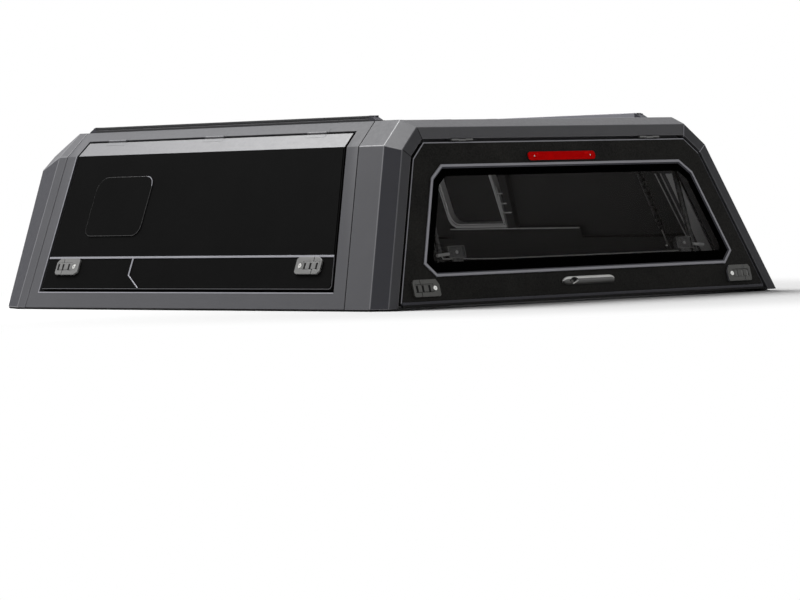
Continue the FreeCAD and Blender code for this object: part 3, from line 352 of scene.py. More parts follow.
def rounded(loop, radii, steps=6, closed=True):
    """A loop or line of flat points whose corners are replaced by arcs."""
    count = len(loop)
    if not hasattr(radii, "__len__"):
        radii = [radii] * count
    made = []
    for i, (corner, radius) in enumerate(zip(loop, radii)):
        if not radius or (not closed and i in (0, count - 1)):
            made.append(Vector(corner))
            continue
        here = Vector(corner)
        back = (Vector(loop[i - 1]) - here).normalized()
        ahead = (Vector(loop[(i + 1) % count]) - here).normalized()
        half = back.angle(ahead) / 2
        middle = here + (back + ahead).normalized() * (radius / math.sin(half))
        start = here + back * (radius / math.tan(half))
        end = here + ahead * (radius / math.tan(half))
        a, b = start - middle, end - middle
        turn = a.angle_signed(b)
        for k in range(steps + 1):
            made.append(middle + Matrix.Rotation(-turn * k / steps, 2) @ a)
    return made


def inset(loop, distance):
    """A closed loop, given anticlockwise, set in from its own edges."""
    lines = []
    for i, here in enumerate(loop):
        here = Vector(here)
        run = (Vector(loop[(i + 1) % len(loop)]) - here).normalized()
        inward = Vector((-run.y, run.x))
        lines.append((here + inward * distance, run))
    made = []
    for i, (place, run) in enumerate(lines):
        before, toward = lines[i - 1]
        across = toward.x * run.y - toward.y * run.x
        gap = place - before
        made.append(before + toward * ((gap.x * run.y - gap.y * run.x) / across))
    return made


def walls(bm, lower, upper, material=0):
    """Faces between two rings of as many points."""
    for i in range(len(lower)):
        bm.faces.new((lower[i - 1], lower[i], upper[i], upper[i - 1])).material_index = material


def skin(bm, rings):
    """A closed form over rings of as many points."""
    for lower, upper in zip(rings, rings[1:]):
        walls(bm, lower, upper)
    bm.faces.new(rings[0])
    bm.faces.new(rings[-1])


def prism(bm, flat, loop, low, high, material=0, top_inset=0.0):
    """A plate with this outline between two heights above a plane."""
    rings = [[bm.verts.new(flat(*p, height)) for p in points]
             for points, height in ((loop, low), (inset(loop, top_inset) if top_inset else loop, high))]
    for ring in rings:
        bm.faces.new(ring).material_index = material
    walls(bm, *rings, material)


def frame_plate(bm, flat, outer, inner, low, high):
    """A plate with an opening."""
    levels = []
    for height in (low, high):
        pair = [[bm.verts.new(flat(*p, height)) for p in loop] for loop in (outer, inner)]
        edges = [bm.edges.new((ring[i - 1], ring[i])) for ring in pair for i in range(len(ring))]
        bmesh.ops.triangle_fill(bm, edges=edges, use_beauty=True, normal=flat.out)
        levels.append(pair)
    for lower, upper in zip(*levels):
        walls(bm, lower, upper)


def ribbon(bm, flat, line, width, low, high):
    """A flat strip that follows an open line of flat points."""
    points = [Vector(p) for p in line]
    left, right = [], []
    for i, here in enumerate(points):
        before = (here - points[i - 1]).normalized() if i else None
        after = (points[i + 1] - here).normalized() if i < len(points) - 1 else None
        run = ((before or after) + (after or before)).normalized()
        side = Vector((-run.y, run.x))
        reach = width / 2
        if before is not None and after is not None:
            reach /= max(0.3, abs(side.dot(Vector((-after.y, after.x)))))
        left.append(here + side * reach)
        right.append(here - side * reach)
    prism(bm, flat, left + right[::-1], low, high)


def lathe(bm, start, axis, profile, segments=24):
    """A turned part: (radius, distance along the axis) pairs, closed where the radius is nought."""
    axis = Vector(axis).normalized()
    side = axis.orthogonal().normalized()
    other = axis.cross(side)
    rings = []
    for radius, along in profile:
        centre = Vector(start) + axis * along
        if radius < 1e-7:
            rings.append([bm.verts.new(centre)])
            continue
        ring = []
        for k in range(segments):
            angle = 2 * math.pi * k / segments
            ring.append(bm.verts.new(centre + (side * math.cos(angle) + other * math.sin(angle)) * radius))
        rings.append(ring)
    for lower, upper in zip(rings, rings[1:]):
        for k in range(segments):
            n = (k + 1) % segments
            corners = [lower[k % len(lower)], lower[n % len(lower)], upper[n % len(upper)], upper[k % len(upper)]]
            unique = list(dict.fromkeys(corners))
            if len(unique) > 2:
                bm.faces.new(unique)


def rod(bm, start, end, radius, segments=20, edge=0.0008):
    """A round bar with bevelled ends."""
    full = (end - start).length
    lathe(bm, start, end - start, [
        (0, 0), (radius - edge, 0), (radius, edge), (radius, full - edge), (radius - edge, full), (0, full)], segments)


def node_copy(*nodes):
    """One clean mesh of CAD nodes: triangles merged, flats made whole, and the walls between them left out."""
    whole = bmesh.new()
    for name in nodes:
        part = bmesh.new()
        part.from_mesh(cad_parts[name].data)
        bmesh.ops.remove_doubles(part, verts=part.verts, dist=1e-5)
        bmesh.ops.dissolve_limit(
            part, angle_limit=math.radians(0.4), verts=part.verts, edges=part.edges)
        mesh = bpy.data.meshes.new(name)
        part.to_mesh(mesh)
        part.free()
        whole.from_mesh(mesh)
        bpy.data.meshes.remove(mesh)
    if len(nodes) > 1:
        bmesh.ops.remove_doubles(whole, verts=whole.verts, dist=1e-5)
        found = {}
        for face in whole.faces:
            found.setdefault(frozenset(v.index for v in face.verts), []).append(face)
        twins = [f for faces in found.values() if len(faces) > 1 for f in faces]
        bmesh.ops.delete(whole, geom=twins, context="FACES_ONLY")
    for face in whole.faces:
        face.material_index = 0
    return whole


def outline(flat, node):
    """The loop round a CAD node's outer face, anticlockwise in a plane's own axes."""
    bm = node_copy(node)
    bm.normal_update()
    facing = [f for f in bm.faces if f.normal.dot(flat.out) > 0.99]
    face = max(facing, key=lambda f: f.calc_area())
    loop = [flat.place(v.co).xy for v in face.verts]
    bm.free()
    return anticlockwise(loop)


def reach(flat, node, wanted=None):
    """Lowest and highest corner of a CAD node in a plane's own axes."""
    places = [flat.place(v.co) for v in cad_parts[node].data.vertices]
    if wanted:
        places = [p for p in places if wanted(p)]
    return Vector(map(min, zip(*places))), Vector(map(max, zip(*places)))


def hatch_loop(distance):
    """The hatch's outline set in, from its right foot over the crease and the top to the left."""
    places = [REAR.place(v.co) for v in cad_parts["hatch_frame"].data.vertices]
    low, high = min(p.y for p in places), max(p.y for p in places)
    foot = max(p.x for p in places if p.y < low + 1e-4)
    top = max(p.x for p in places if p.y > high - 1e-4)
    outer = [p for p in places if low + 1e-3 < p.y < high - 1e-3]
    crease = max(outer, key=lambda p: p.x * (high - low) + p.y * (foot - top))
    right = [Vector((foot, low)), crease.xy, Vector((top, high))]
    loop = right + [Vector((-p.x, p.y)) for p in reversed(right)]
    return inset(loop, distance)


def sizes():
    return bpy.context.scene.canopy_sizes


def make(name, bm, finishes, outward=True):
    """An object from mesh code, its faces pointing outward."""
    if outward:
        bmesh.ops.recalc_face_normals(bm, faces=bm.faces)
    for face in bm.faces:
        face.smooth = True
    mesh = bpy.data.meshes.new(name)
    bm.to_mesh(mesh)
    bm.free()
    for item in finishes:
        mesh.materials.append(finish(item))
    mesh.set_sharp_from_angle(angle=SHARP)
    piece = bpy.data.objects.new(name, mesh)
    bpy.context.scene.collection.objects.link(piece)
    return piece


def settle(piece):
    """Turns a piece's live modifiers into its mesh."""
    bpy.context.view_layer.update()
    depsgraph = bpy.context.evaluated_depsgraph_get()
    mesh = bpy.data.meshes.new_from_object(
        piece.evaluated_get(depsgraph), preserve_all_data_layers=True, depsgraph=depsgraph)
    piece.modifiers.clear()
    before = piece.data
    piece.data = mesh
    mesh.name = piece.name
    bpy.data.meshes.remove(before)
    return piece


def soften(piece, width, angle=30, segments=2, edge=-1):
    """Rounds a piece's edges that are sharper than an angle."""
    bevel = piece.modifiers.new("Soft Edges", "BEVEL")
    bevel.width = width
    bevel.segments = segments
    bevel.limit_method = "ANGLE"
    bevel.angle_limit = math.radians(angle)
    bevel.harden_normals = True
    bevel.material = edge
    return settle(piece)


def shaded(piece):
    """Smooth shading between the sharp edges."""
    for face in piece.data.polygons:
        face.use_smooth = True
    piece.data.set_sharp_from_angle(angle=SHARP)
    return piece


def built(name, finishes, *shapes, soft=None, paint=None):
    """A piece from shapes, each a function and its values; soft says how its edges are rounded."""
    bm = bmesh.new()
    for shape, *values in shapes:
        shape(bm, *values)
    if paint:
        for face in bm.faces:
            face.material_index = paint(face)
    piece = make(name, bm, finishes)
    return soften(piece, *soft) if soft else piece


def carve(piece, *shapes):
    """Cuts closed shapes out of a piece."""
    tool = built("cutter", [], *shapes)
    cut = piece.modifiers.new("Recess", "BOOLEAN")
    cut.operation = "DIFFERENCE"
    cut.solver = "EXACT"
    cut.use_self = True
    cut.object = tool
    settle(piece)
    mesh = tool.data
    bpy.data.objects.remove(tool)
    bpy.data.meshes.remove(mesh)
    return shaded(piece)


def unite(name, pieces):
    """Several pieces as one."""
    first = pieces[0]
    with bpy.context.temp_override(
            active_object=first, object=first, selected_objects=pieces, selected_editable_objects=pieces):
        bpy.ops.object.join()
    first.name = name
    first.data.name = name
    return first


def declare(piece, body, slot, *nodes):
    """Puts a finished piece on its body and hides the CAD nodes that it stands for; the slot is not used."""
    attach(piece, body)
    if nodes:
        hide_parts(*nodes)
    return piece


def stand_in(node, parts, body, slot):
    """One piece from several, in place of a CAD node."""
    return declare(unite(node + "_dressed", parts), body, slot, node)


def dressed(nodes, finishes, width, body, slot=None, angle=30, segments=2, edge=-1, paint=None, name=None):
    """The CAD nodes' own shape with rounded edges; the slot, the first finish's unless it is given, is not used."""
    bm = node_copy(*nodes)
    if paint:
        bm.normal_update()
        for face in bm.faces:
            face.material_index = paint(face)
    piece = make(name or nodes[0] + "_dressed", bm, finishes, outward=False)
    soften(piece, width, angle, segments, edge)
    return declare(piece, body, slot or finishes[0], *nodes)


# Geometry Nodes trees


def new_tree(name, **inputs):
    """A tree with one geometry output of its own name and these inputs."""
    tree = bpy.data.node_groups.new(name, "GeometryNodeTree")
    for item, kind in inputs.items():
        tree.interface.new_socket(name=item, in_out="INPUT", socket_type="NodeSocket" + kind)
    tree.interface.new_socket(name=name, in_out="OUTPUT", socket_type="NodeSocketGeometry")
    return tree


def row_tree():
    """Repeats the modified mesh along a straight line."""
    if "Row" in bpy.data.node_groups:
        return bpy.data.node_groups["Row"]
    tree = new_tree("Row", Item="Geometry", Count="Int", Step="Vector", Finish="Material")
    graph = Graph(tree)
    given = graph.add("NodeGroupInput").outputs
    line = graph.add("GeometryNodeMeshLine", {"Count": given["Count"], "Offset": given["Step"]}, mode="OFFSET")
    points = graph.add("GeometryNodeInstanceOnPoints", {"Points": line.outputs[0], "Instance": given["Item"]})
    real = graph.add("GeometryNodeRealizeInstances", {"Geometry": points.outputs[0]})
    done = graph.add("GeometryNodeSetMaterial", {"Geometry": real.outputs[0], "Material": given["Finish"]})
    graph.add("NodeGroupOutput", {"Row": done.outputs[0]})
    return tree


def bead_tree():
    """Turns a line of edges into a round bead with rounded corners."""
    if "Bead" in bpy.data.node_groups:
        return bpy.data.node_groups["Bead"]
    tree = new_tree("Bead", Line="Geometry", Radius="Float", Corner="Float", Sides="Int", Finish="Material")
    graph = Graph(tree)
    given = graph.add("NodeGroupInput").outputs
    curve = graph.add("GeometryNodeMeshToCurve", {"Mesh": given["Line"]})
    bend = graph.add(
        "GeometryNodeFilletCurve",
        {"Curve": curve.outputs[0], "Radius": given["Corner"], "Count": 6, "Limit Radius": True}, mode="POLY")
    ring = graph.add("GeometryNodeCurvePrimitiveCircle", {"Resolution": given["Sides"], "Radius": given["Radius"]})
    bead = graph.add(
        "GeometryNodeCurveToMesh",
        {"Curve": bend.outputs[0], "Profile Curve": ring.outputs[0], "Fill Caps": True})
    real = graph.add("GeometryNodeRealizeInstances", {"Geometry": bead.outputs[0]})
    done = graph.add("GeometryNodeSetMaterial", {"Geometry": real.outputs[0], "Material": given["Finish"]})
    graph.add("NodeGroupOutput", {"Bead": done.outputs[0]})
    return tree


def grow(piece, tree, values):
    """Runs a node tree on a piece, with its inputs set by their identifiers, and keeps the mesh."""
    modifier = piece.modifiers.new(tree.name, "NODES")
    modifier.node_group = tree
    for item in tree.interface.items_tree:
        if item.item_type == "SOCKET" and item.in_out == "INPUT" and item.name in values:
            modifier[item.identifier] = values[item.name]
    return shaded(settle(piece))


def row(name, bm, count, step, coating):
    """Several of one item along a line."""
    return grow(make(name, bm, [coating]), row_tree(), {
        "Count": count, "Step": tuple(step), "Finish": finish(coating)})


def bead(name, points, radius, corner, coating, closed=False):
    """A round bead along straight runs."""
    mesh = bpy.data.meshes.new(name)
    edges = [(i, i + 1) for i in range(len(points) - 1)]
    if closed:
        edges.append((len(points) - 1, 0))
    mesh.from_pydata([tuple(p) for p in points], edges, [])
    piece = bpy.data.objects.new(name, mesh)
    bpy.context.scene.collection.objects.link(piece)
    return grow(piece, bead_tree(), {
        "Radius": radius, "Corner": corner, "Sides": 12, "Finish": finish(coating)})


def button_head(bm, place, out, radius):
    """A round-headed bolt with a socket."""
    profile = ((0, 0.25), (0.36, 0.25), (0.40, 0.62), (0.70, 0.55), (0.93, 0.34), (1, 0.12), (1, -0.2), (0, -0.2))
    lathe(bm, place, out, [(across * radius, up * radius) for across, up in profile], 18)


def head_row(name, flat, start, end, count, radius, coating):
    """Bolt heads between two places on a plane."""
    bm = bmesh.new()
    first, last = flat(*start), flat(*end)
    button_head(bm, first, flat.out, radius)
    return row(name, bm, count, (last - first) / max(1, count - 1), coating)


# Posts, beams, side frames, front wall and roof


class Maker:
    """What all operators here share."""
    bl_options = {"REGISTER", "UNDO"}


HOOP_COATS = ["frame_paint", "post_paint", "frame_edge", "frame_sheen"]
# SHADED marks the painted shade on the posts' turned facets, EDGE the painted highlight on the folds
PLAIN, SHADED, EDGE, SHEEN = range(4)


class CANOPY_OT_posts_and_beams(Maker, bpy.types.Operator):
    """Make the faceted hoop at each end of the frame"""
    bl_idname = "canopy.posts_and_beams"
    bl_label = "Posts and Beams"

    def execute(self, context):
        # the folds' bevels get the lighter edge finish, a painted highlight
        for end in ("rear", "front"):
            dressed([f"right_{end}_post", f"{end}_top_beam", f"left_{end}_post"], HOOP_COATS, sizes().fold_radius,
                    "canopy_frame", angle=12, segments=3, edge=EDGE, paint=self.coat, name=end + "_hoop")
        self.weld_lines()
        return {"FINISHED"}

    def coat(self, face):
        """Glossier coat on the rear beam and the facets beside it, and painted shade, a darker coat, on the posts'
        turned facets.
        """
        normal = face.normal
        if normal.y < -0.2 and normal.z > 0.45:
            return SHEEN
        if normal.dot(REAR.out) > 0.98:
            return SHEEN if abs(face.calc_center_median().x) < 0.4 else PLAIN
        # painted shade on the facets that look forward or back
        return SHADED if abs(normal.y) > 0.3 and normal.z < 0.45 else PLAIN

    def weld_lines(self):
        """Fine beads where the rear beam's face meets the posts', at the opening's four corners; the left beads are
        black, a painted shade, and the right ones light, a painted highlight.
        """
        crease, top = hatch_loop(-0.004)[1:3]
        parts = []
        # painted shade on the left beads, painted highlight on the right ones
        for hand, coating, radius in ((-1, "rubber", 0.0009), (1, "light_trim", 0.0013)):
            for inner, x, y in ((crease, CREASE_X - 0.022, 0.4760), (top, ROOF_EDGE_X - 0.012, 0.5400)):
                ends = REAR(hand * inner.x, inner.y, 0.0002), REAR(hand * x, y, 0.0002)
                parts.append(built("weld", [coating], (rod, *ends, radius, 10, 0.0003)))
        declare(unite("rear_weld_lines", parts), "canopy_frame", "frame_paint")


class CANOPY_OT_side_frames(Maker, bpy.types.Operator):
    """Make the frames round the side openings, with an open joint to each post"""
    bl_idname = "canopy.side_frames"
    bl_label = "Side Frames"

    def execute(self, context):
        for side, hand, flat, chamfer in SIDES:
            node = side + "_side_frame"
            bm = node_copy(node)
            for front in (False, True):
                self.open_joint(bm, sizes().seam_gap, front)
            piece = make("frame", bm, ["frame_paint", "rubber"], outward=False)
            soften(piece, sizes().fold_radius * 0.7, 12, 2)
            self.jamb_lining(side, flat)
            stand_in(node, [piece, self.lip(flat, reach(flat, side + "_door_panel")[1].y)],
                     "canopy_frame", "frame_paint")
        return {"FINISHED"}

    def lip(self, flat, crease):
        """A strip painted light along the sill and up the front jamb: a painted highlight on the edge."""
        foot, top = SILL_TOP - 0.0038, SILL_TOP - 0.0002
        outer = DOOR_FRONT + 0.0032
        return built(
            "lip", ["light_trim"],
            (prism, flat, [(DOOR_REAR + SIDE_SHEAR * foot, foot), (outer, foot), (DOOR_FRONT, top),
                           (DOOR_REAR + SIDE_SHEAR * top, top)], -0.0006, 0.0005),
            (prism, flat, [(DOOR_FRONT, top), (outer, foot), (outer, crease), (DOOR_FRONT, crease)], -0.0006, 0.0005))

    def jamb_lining(self, side, flat):
        """The pale band inside the rear jamb, with two edge strips, made near white: partly the band's own pale colour
        and partly painted light.
        """
        strips = [
            (prism, flat, [(foot, 0.1446), (foot + 0.0045, 0.1446), (top + 0.0045, 0.4180), (top, 0.4180)],
             -0.0415, -0.0400) for foot, top in ((0.2660, 0.3298), (0.2840, 0.3530))]
        band = (prism, flat, [(0.204, 0.142), (0.250, 0.142), (0.309, 0.4175), (0.264, 0.4175)], -0.0430, -0.0405)
        declare(built(side + "_jamb_lining", ["jamb_lining"], band, *strips), "canopy_frame", "frame_paint")

    def open_joint(self, bm, gap, front):
        """Draws one end back from its post and leaves a rubber strip in the joint."""

        def station(v):
            return v.co.y if front else REAR_SLOPE * v.co.z - v.co.y

        end = max(station(v) for v in bm.verts)
        moved = {v for v in bm.verts if station(v) > end - 1e-4}
        shift = -gap if front else gap
        for v in moved:
            v.co.y += shift
        faces = [f for f in bm.faces if all(v in moved for v in f.verts)]
        made = bmesh.ops.inset_region(bm, faces=faces, thickness=0.0035, use_even_offset=True)
        for v in {v for f in faces for v in f.verts}:
            v.co.y -= shift * 0.98
        for face in made["faces"] + faces:
            face.material_index = 1


class CANOPY_OT_front_wall(Maker, bpy.types.Operator):
    """Make the wall behind the cab with its window and seal"""
    bl_idname = "canopy.front_wall"
    bl_label = "Front Wall"

    def execute(self, context):
        dressed(["front_wall"], ["frame_paint"], 0.0008, "canopy_frame")
        pane = outline(FRONT, "front_window_glass")
        window = built("front_pane", ["clear_glass"], (prism, FRONT, pane, -0.004, -0.0001), soft=(0.0006,))
        declare(window, "canopy_frame", "clear_glass", "front_window_glass")
        seal = built(
            "front_pane_seal", ["rubber"],
            (frame_plate, FRONT, rounded(inset(pane, -0.0135), 0.020), rounded(inset(pane, 0.0135), 0.024), 0.0, 0.006),
            soft=(0.0022, 30, 3))
        declare(seal, "canopy_frame", "rubber", "front_window_seal")
        rows = [
            head_row("wall_bolts", FRONT, start, end, count, sizes().bolt_radius, "dark_metal")
            for start, end, count in (
                ((-0.672, 0.05), (-0.560, 0.36), 4), ((0.672, 0.05), (0.560, 0.36), 4),
                ((-0.42, 0.385), (0.42, 0.385), 7), ((-0.60, 0.028), (0.60, 0.028), 9))]
        declare(unite("front_wall_bolts", rows), "canopy_frame", "dark_metal")
        return {"FINISHED"}


BEAD_WIDTH = 0.070
BEAD_PITCH = 0.200
# how far each ring of a bead is set in, and how high it stands
BEAD_STEPS = ((0.0, -0.001), (0.004, 0.0010), (0.009, 0.0032), (0.014, 0.0045), (0.020, 0.0050))
RIVET_RADIUS = 0.0045


class CANOPY_OT_roof(Maker, bpy.types.Operator):
    """Make the roof sheet, its raised beads and the bows under it"""
    bl_idname = "canopy.roof"
    bl_label = "Roof"

    def execute(self, context):
        low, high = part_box("roof_panel")
        level = Flat((0, 0, 0), (1, 0, 0), (0, 1, 0))
        sheet = built(
            "sheet", ["frame_paint"], (prism, level, oblong(low.x, low.y, high.x, high.y), low.z, ROOF_TOP),
            soft=(0.0005,))
        rivets = [
            head_row("rivets", ROOF, (low.y + 0.03, x), (high.y - 0.03, x),
                     round((high.y - low.y) / sizes().bolt_pitch), RIVET_RADIUS, "frame_paint")
            for x in (0.016 - high.x, high.x - 0.016)]
        beads = self.beads(sizes().bead_count, low.y + BEAD_WIDTH, high.y - BEAD_WIDTH)
        stand_in("roof_panel", [sheet, beads, *rivets], "canopy_frame", "frame_paint")
        # the bows' bevels are painted lighter: painted highlights
        dressed(["roof_bows"], ["frame_paint", "frame_edge"], 0.003, "canopy_frame", segments=3, edge=1)
        return {"FINISHED"}

    def beads(self, count, rear, front):
        """Raised beads side by side, each a stack of rounded rings."""
        left = -BEAD_PITCH * (count - 1) / 2 - BEAD_WIDTH / 2
        bm = bmesh.new()
        rings = []
        for shrink, height in BEAD_STEPS:
            loop = oblong(left + shrink, rear + shrink, left + BEAD_WIDTH - shrink, front - shrink)
            loop = rounded(loop, BEAD_WIDTH / 2 - 0.0005 - shrink, 8)
            rings.append([bm.verts.new((p.x, p.y, ROOF_TOP + height)) for p in loop])
        skin(bm, rings)
        return row("beads", bm, count, (BEAD_PITCH, 0, 0), "frame_paint")


class CANOPY_OT_roof_rails(Maker, bpy.types.Operator):
    """Make the slotted rails along the roof edges, with their end caps and bolts"""
    bl_idname = "canopy.roof_rails"
    bl_label = "Roof Rails"

    def execute(self, context):
        for side, hand, flat, chamfer in SIDES:
            node = side + "_roof_rail"
            low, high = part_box(node)
            inner = min(abs(low.x), abs(high.x))
            width, height = high.x - low.x, high.z - low.z
            middle = width / 2
            slot, lip, deep, wall, drop, waist = 0.0045, 0.0036, 0.0105, 0.0085, 0.0018, 0.0012
            loop = [
                (0, 0), (width, 0), (width, height * 0.38), (width - waist, height * 0.44),
                (width - waist, height * 0.56), (width, height * 0.62), (width, height - drop),
                (middle + slot, height - drop), (middle + slot, height - lip), (middle + wall, height - lip),
                (middle + wall, height - deep), (middle - wall, height - deep), (middle - wall, height - lip),
                (middle - slot, height - lip), (middle - slot, height), (0, height)]
            cap = 0.032
            near, far = low.y + cap * 0.62, high.y - cap * 0.62
            section = Flat((hand * inner, 0, low.z), (hand, 0, 0), (0, 0, 1), -hand)
            rail = built(
                "rail", ["rail_paint", "light_trim"], (prism, section, loop, near, far), soft=(0.0006, 20),
                paint=lambda face: int(face.calc_center_median().x * hand < inner + 1e-4))
            edge = oblong(0.0004, height - 0.0022, middle - slot - 0.0004, height + 0.0001)
            bright = built("lip", ["light_trim"], (prism, section, edge, near, far))
            lengthwise = Flat((hand * inner, 0, low.z), (0, 1, 0), (0, 0, 1), hand)
            wedges = []
            for end, run in ((low.y, cap), (high.y, -cap)):
                wedge = [(end, 0), (end, height * 0.16), (end + run * 0.9, height * 1.02),
                         (end + run, height * 1.02), (end + run, 0)]
                wedges.append((prism, lengthwise, wedge if run > 0 else wedge[::-1], -0.0003, width + 0.0003))
            caps = built("caps", ["flange_paint"], *wedges, soft=(0.0015, 20, 3))
            bm = bmesh.new()
            button_head(bm, (hand * (inner + middle), low.y + 0.12, high.z - deep), (0, 0, 1), 0.0062)
            count = 7
            bolts = row("bolts", bm, count, (0, (high.y - low.y - 0.24) / (count - 1), 0), "hinge_steel")
            stand_in(node, [rail, bright, caps, bolts], "canopy_frame", "frame_paint")
        return {"FINISHED"}


class CANOPY_OT_seals(Maker, bpy.types.Operator):
    """Make the rubber under the frame and the bulb seals on the ledges"""
    bl_idname = "canopy.seals"
    bl_label = "Seals"

    def execute(self, context):
        dressed(["rail_seal"], ["rubber"], 0.0015, "canopy_frame")
        radius = sizes().seal_radius
        depth = LEDGE_DEPTH - radius * 0.9
        front, rear = DOOR_FRONT - LEDGE_MIDDLE - FRONT_END, DOOR_REAR + LEDGE_MIDDLE - FRONT_END
        for side, hand, flat, chamfer in SIDES:
            run = [flat(0, SILL_TOP + LEDGE_MIDDLE, -depth), self.inner_crease(hand, depth),
                   chamfer(0, HEADER_FOOT - LEDGE_MIDDLE, -depth)]
            line = [Vector((p.x, front, p.z)) for p in run]
            line += [Vector((p.x, rear + REAR_SLOPE * (p.z - FOOT), p.z)) for p in reversed(run)]
            declare(bead(side + "_door_seal", line, radius, 0.022, "rubber", closed=True), "canopy_frame", "rubber")
        foot, crease, top = hatch_loop(0.004)[:3]
        half = [foot.lerp(crease, (0.012 - foot.y) / (crease.y - foot.y)), crease, top]
        depth = HATCH_LEDGE_DEPTH - radius * 0.9
        line = [REAR(p.x, p.y, -depth) for p in half] + [REAR(-p.x, p.y, -depth) for p in reversed(half)]
        declare(bead("hatch_seal", line, radius, 0.022, "rubber"), "canopy_frame", "rubber")
        return {"FINISHED"}

    def inner_crease(self, hand, depth):
        """The crease between side and chamfer at a depth below both."""
        bisector = (SIDE_LEAN + CHAMFER_LEAN) / 2
        inward = depth / math.cos((CHAMFER_LEAN - SIDE_LEAN) / 2)
        return Vector((hand * (CREASE_X - inward * math.cos(bisector)), 0, CREASE_Z - inward * math.sin(bisector)))


# Side doors


class CANOPY_OT_door_frames(Maker, bpy.types.Operator):
    """Make the doors' frames with the bent strip at the top, and what they hold inside"""
    bl_idname = "canopy.door_frames"
    bl_label = "Door Frames"

    def execute(self, context):
        for side, hand, flat, chamfer in SIDES:

            def paint(face):
                if chamfer.place(face.calc_center_median()).y > -0.002 and face.normal.dot(chamfer.out) > 0.2:
                    return 0
                return 2 if face.normal.dot(flat.out) < -0.5 else 1

            dressed([side + "_door_frame"], ["strip_paint", "panel_paint", "lining"], 0.0014,
                    side + "_door", "frame_paint", angle=20, paint=paint)
            self.inside(side, flat)
        return {"FINISHED"}

    def inside(self, side, flat):
        """The stiffener with its ladder of clips, the middle rail's flange and the rim behind the cover."""
        members = built(
            "members", ["lining"],
            (prism, flat, [(1.083, 0.193), (1.120, 0.193), (1.086, 0.466), (1.050, 0.466)], -0.0240, -0.0030),
            (prism, flat, oblong(0.783, 0.190, 1.396, 0.2270), -0.0240, -0.0215), soft=(0.0010,))
        clips = [
            (prism, flat, oblong(near, up - 0.0022, far, up + 0.0012), -0.0262, -0.0238)
            for near, far, up in ((1.0907, 1.114, 0.356), (1.0865, 1.110, 0.320), (1.077, 1.114, 0.287))]
        # the clips, flange edges and the rim behind the cover are near white: painted highlights inside the door
        edges = built(
            "edges", ["jamb_lining"], *clips,
            (prism, flat, oblong(0.783, 0.2264, 1.396, 0.2296), -0.0252, -0.0218),
            (prism, flat, [(1.114, 0.287), (1.1165, 0.287), (1.1120, 0.380), (1.1095, 0.380)], -0.0255, -0.0238))
        loop = oblong(1.118, 0.2335, 1.389, 0.440)
        rings = [rounded(inset(loop, at), [0.003, 0.036, 0.036, 0.003], 8) for at in (0, 0.0030, 0.0095, 0.0130)]
        bend = rounded([(1.375, 0.330), (1.384, 0.2390), (1.121, 0.2390)], 0.030, 8, closed=False)
        rim = built(
            "rim", ["jamb_lining"], (frame_plate, flat, *rings[:2], -0.0262, -0.0028),
            (frame_plate, flat, *rings[2:], -0.0240, -0.0028), (ribbon, flat, bend, 0.0050, -0.0256, -0.0240))
        declare(unite(side + "_door_inside", [members, edges, rim]), side + "_door", "frame_paint")


class CANOPY_OT_door_panels(Maker, bpy.types.Operator):
    """Make the doors' black skins"""
    bl_idname = "canopy.door_panels"
    bl_label = "Door Panels"

    def execute(self, context):
        for side, hand, flat, chamfer in SIDES:
            node = side + "_door_panel"
            bm = node_copy(node)
            top = max(flat.place(v.co).y for v in bm.verts)
            for v in bm.verts:
                if flat.place(v.co).y > top - 1e-4:
                    v.co -= flat.up * 0.0022
            bm.normal_update()
            for face in bm.faces:
                face.material_index = int(face.normal.dot(flat.out) < -0.9)
            piece = make(node + "_dressed", bm, ["panel_paint", "lining"], outward=False)
            soften(piece, 0.0007, 40)
            declare(piece, side + "_door", "panel_paint", node)
        return {"FINISHED"}


class CANOPY_OT_door_trims(Maker, bpy.types.Operator):
    """Make the belt strips with their chevrons and the fine line round each lower pocket"""
    bl_idname = "canopy.door_trims"
    bl_label = "Door Trims"

    def execute(self, context):
        for side, hand, flat, chamfer in SIDES:
            node = side + "_door_trim"
            low, high = reach(flat, node)
            bm = node_copy(node)
            for v in bm.verts:
                x = flat.place(v.co).x
                if x > high.x - 1e-4:
                    v.co += flat.along * 0.0036
                elif x < low.x + 0.004:
                    v.co -= flat.along * 0.0036
            strip = make("strip", bm, ["light_trim"], outward=False)
            soften(strip, 0.0006)
            foot = reach(flat, side + "_door_panel")[0].y - 0.0022
            near = DOOR_REAR + 0.0104
            belt = high.y - 0.003
            line = [(high.x, foot), (near + SIDE_SHEAR * foot, foot), (near + SIDE_SHEAR * belt, belt)]
            pocket = built(
                "pocket", ["strip_paint"],
                (ribbon, flat, rounded(line, 0.011, 6, closed=False), sizes().pocket_line, -0.0030, 0.0006))
            stand_in(node, [strip, pocket], side + "_door", "light_trim")
        return {"FINISHED"}


class CANOPY_OT_cover_plates(Maker, bpy.types.Operator):
    """Make the pressed cover plates of the side doors"""
    bl_idname = "canopy.cover_plates"
    bl_label = "Cover Plates"

    def execute(self, context):
        radii = [sizes().cover_radius * share for share in (0.72, 0.60, 1.0, 0.64)]
        for side, hand, flat, chamfer in SIDES:
            node = side + "_cover_plate"
            low, high = reach(flat, node)
            loop = oblong(low.x, low.y, high.x, high.y)
            # The plate's bevels get the lighter edge finish: painted highlights
            plate = built("plate", ["panel_paint", "panel_edge"],
                          (prism, flat, rounded(loop, radii, 8), -0.0005, 0.0030), soft=(0.0011, 30, 3, 1))
            # A painted glint along the plate's rear top corner
            corner = [p for p in rounded(inset(loop, 0.0011), radii, 8)
                      if p.x < low.x + 0.034 and p.y > high.y - 0.034]
            glint = built("glint", ["light_trim"], (ribbon, flat, corner, 0.0026, 0.0024, 0.0032))
            stand_in(node, [plate, glint], side + "_door", "panel_paint")
        return {"FINISHED"}


# Locks


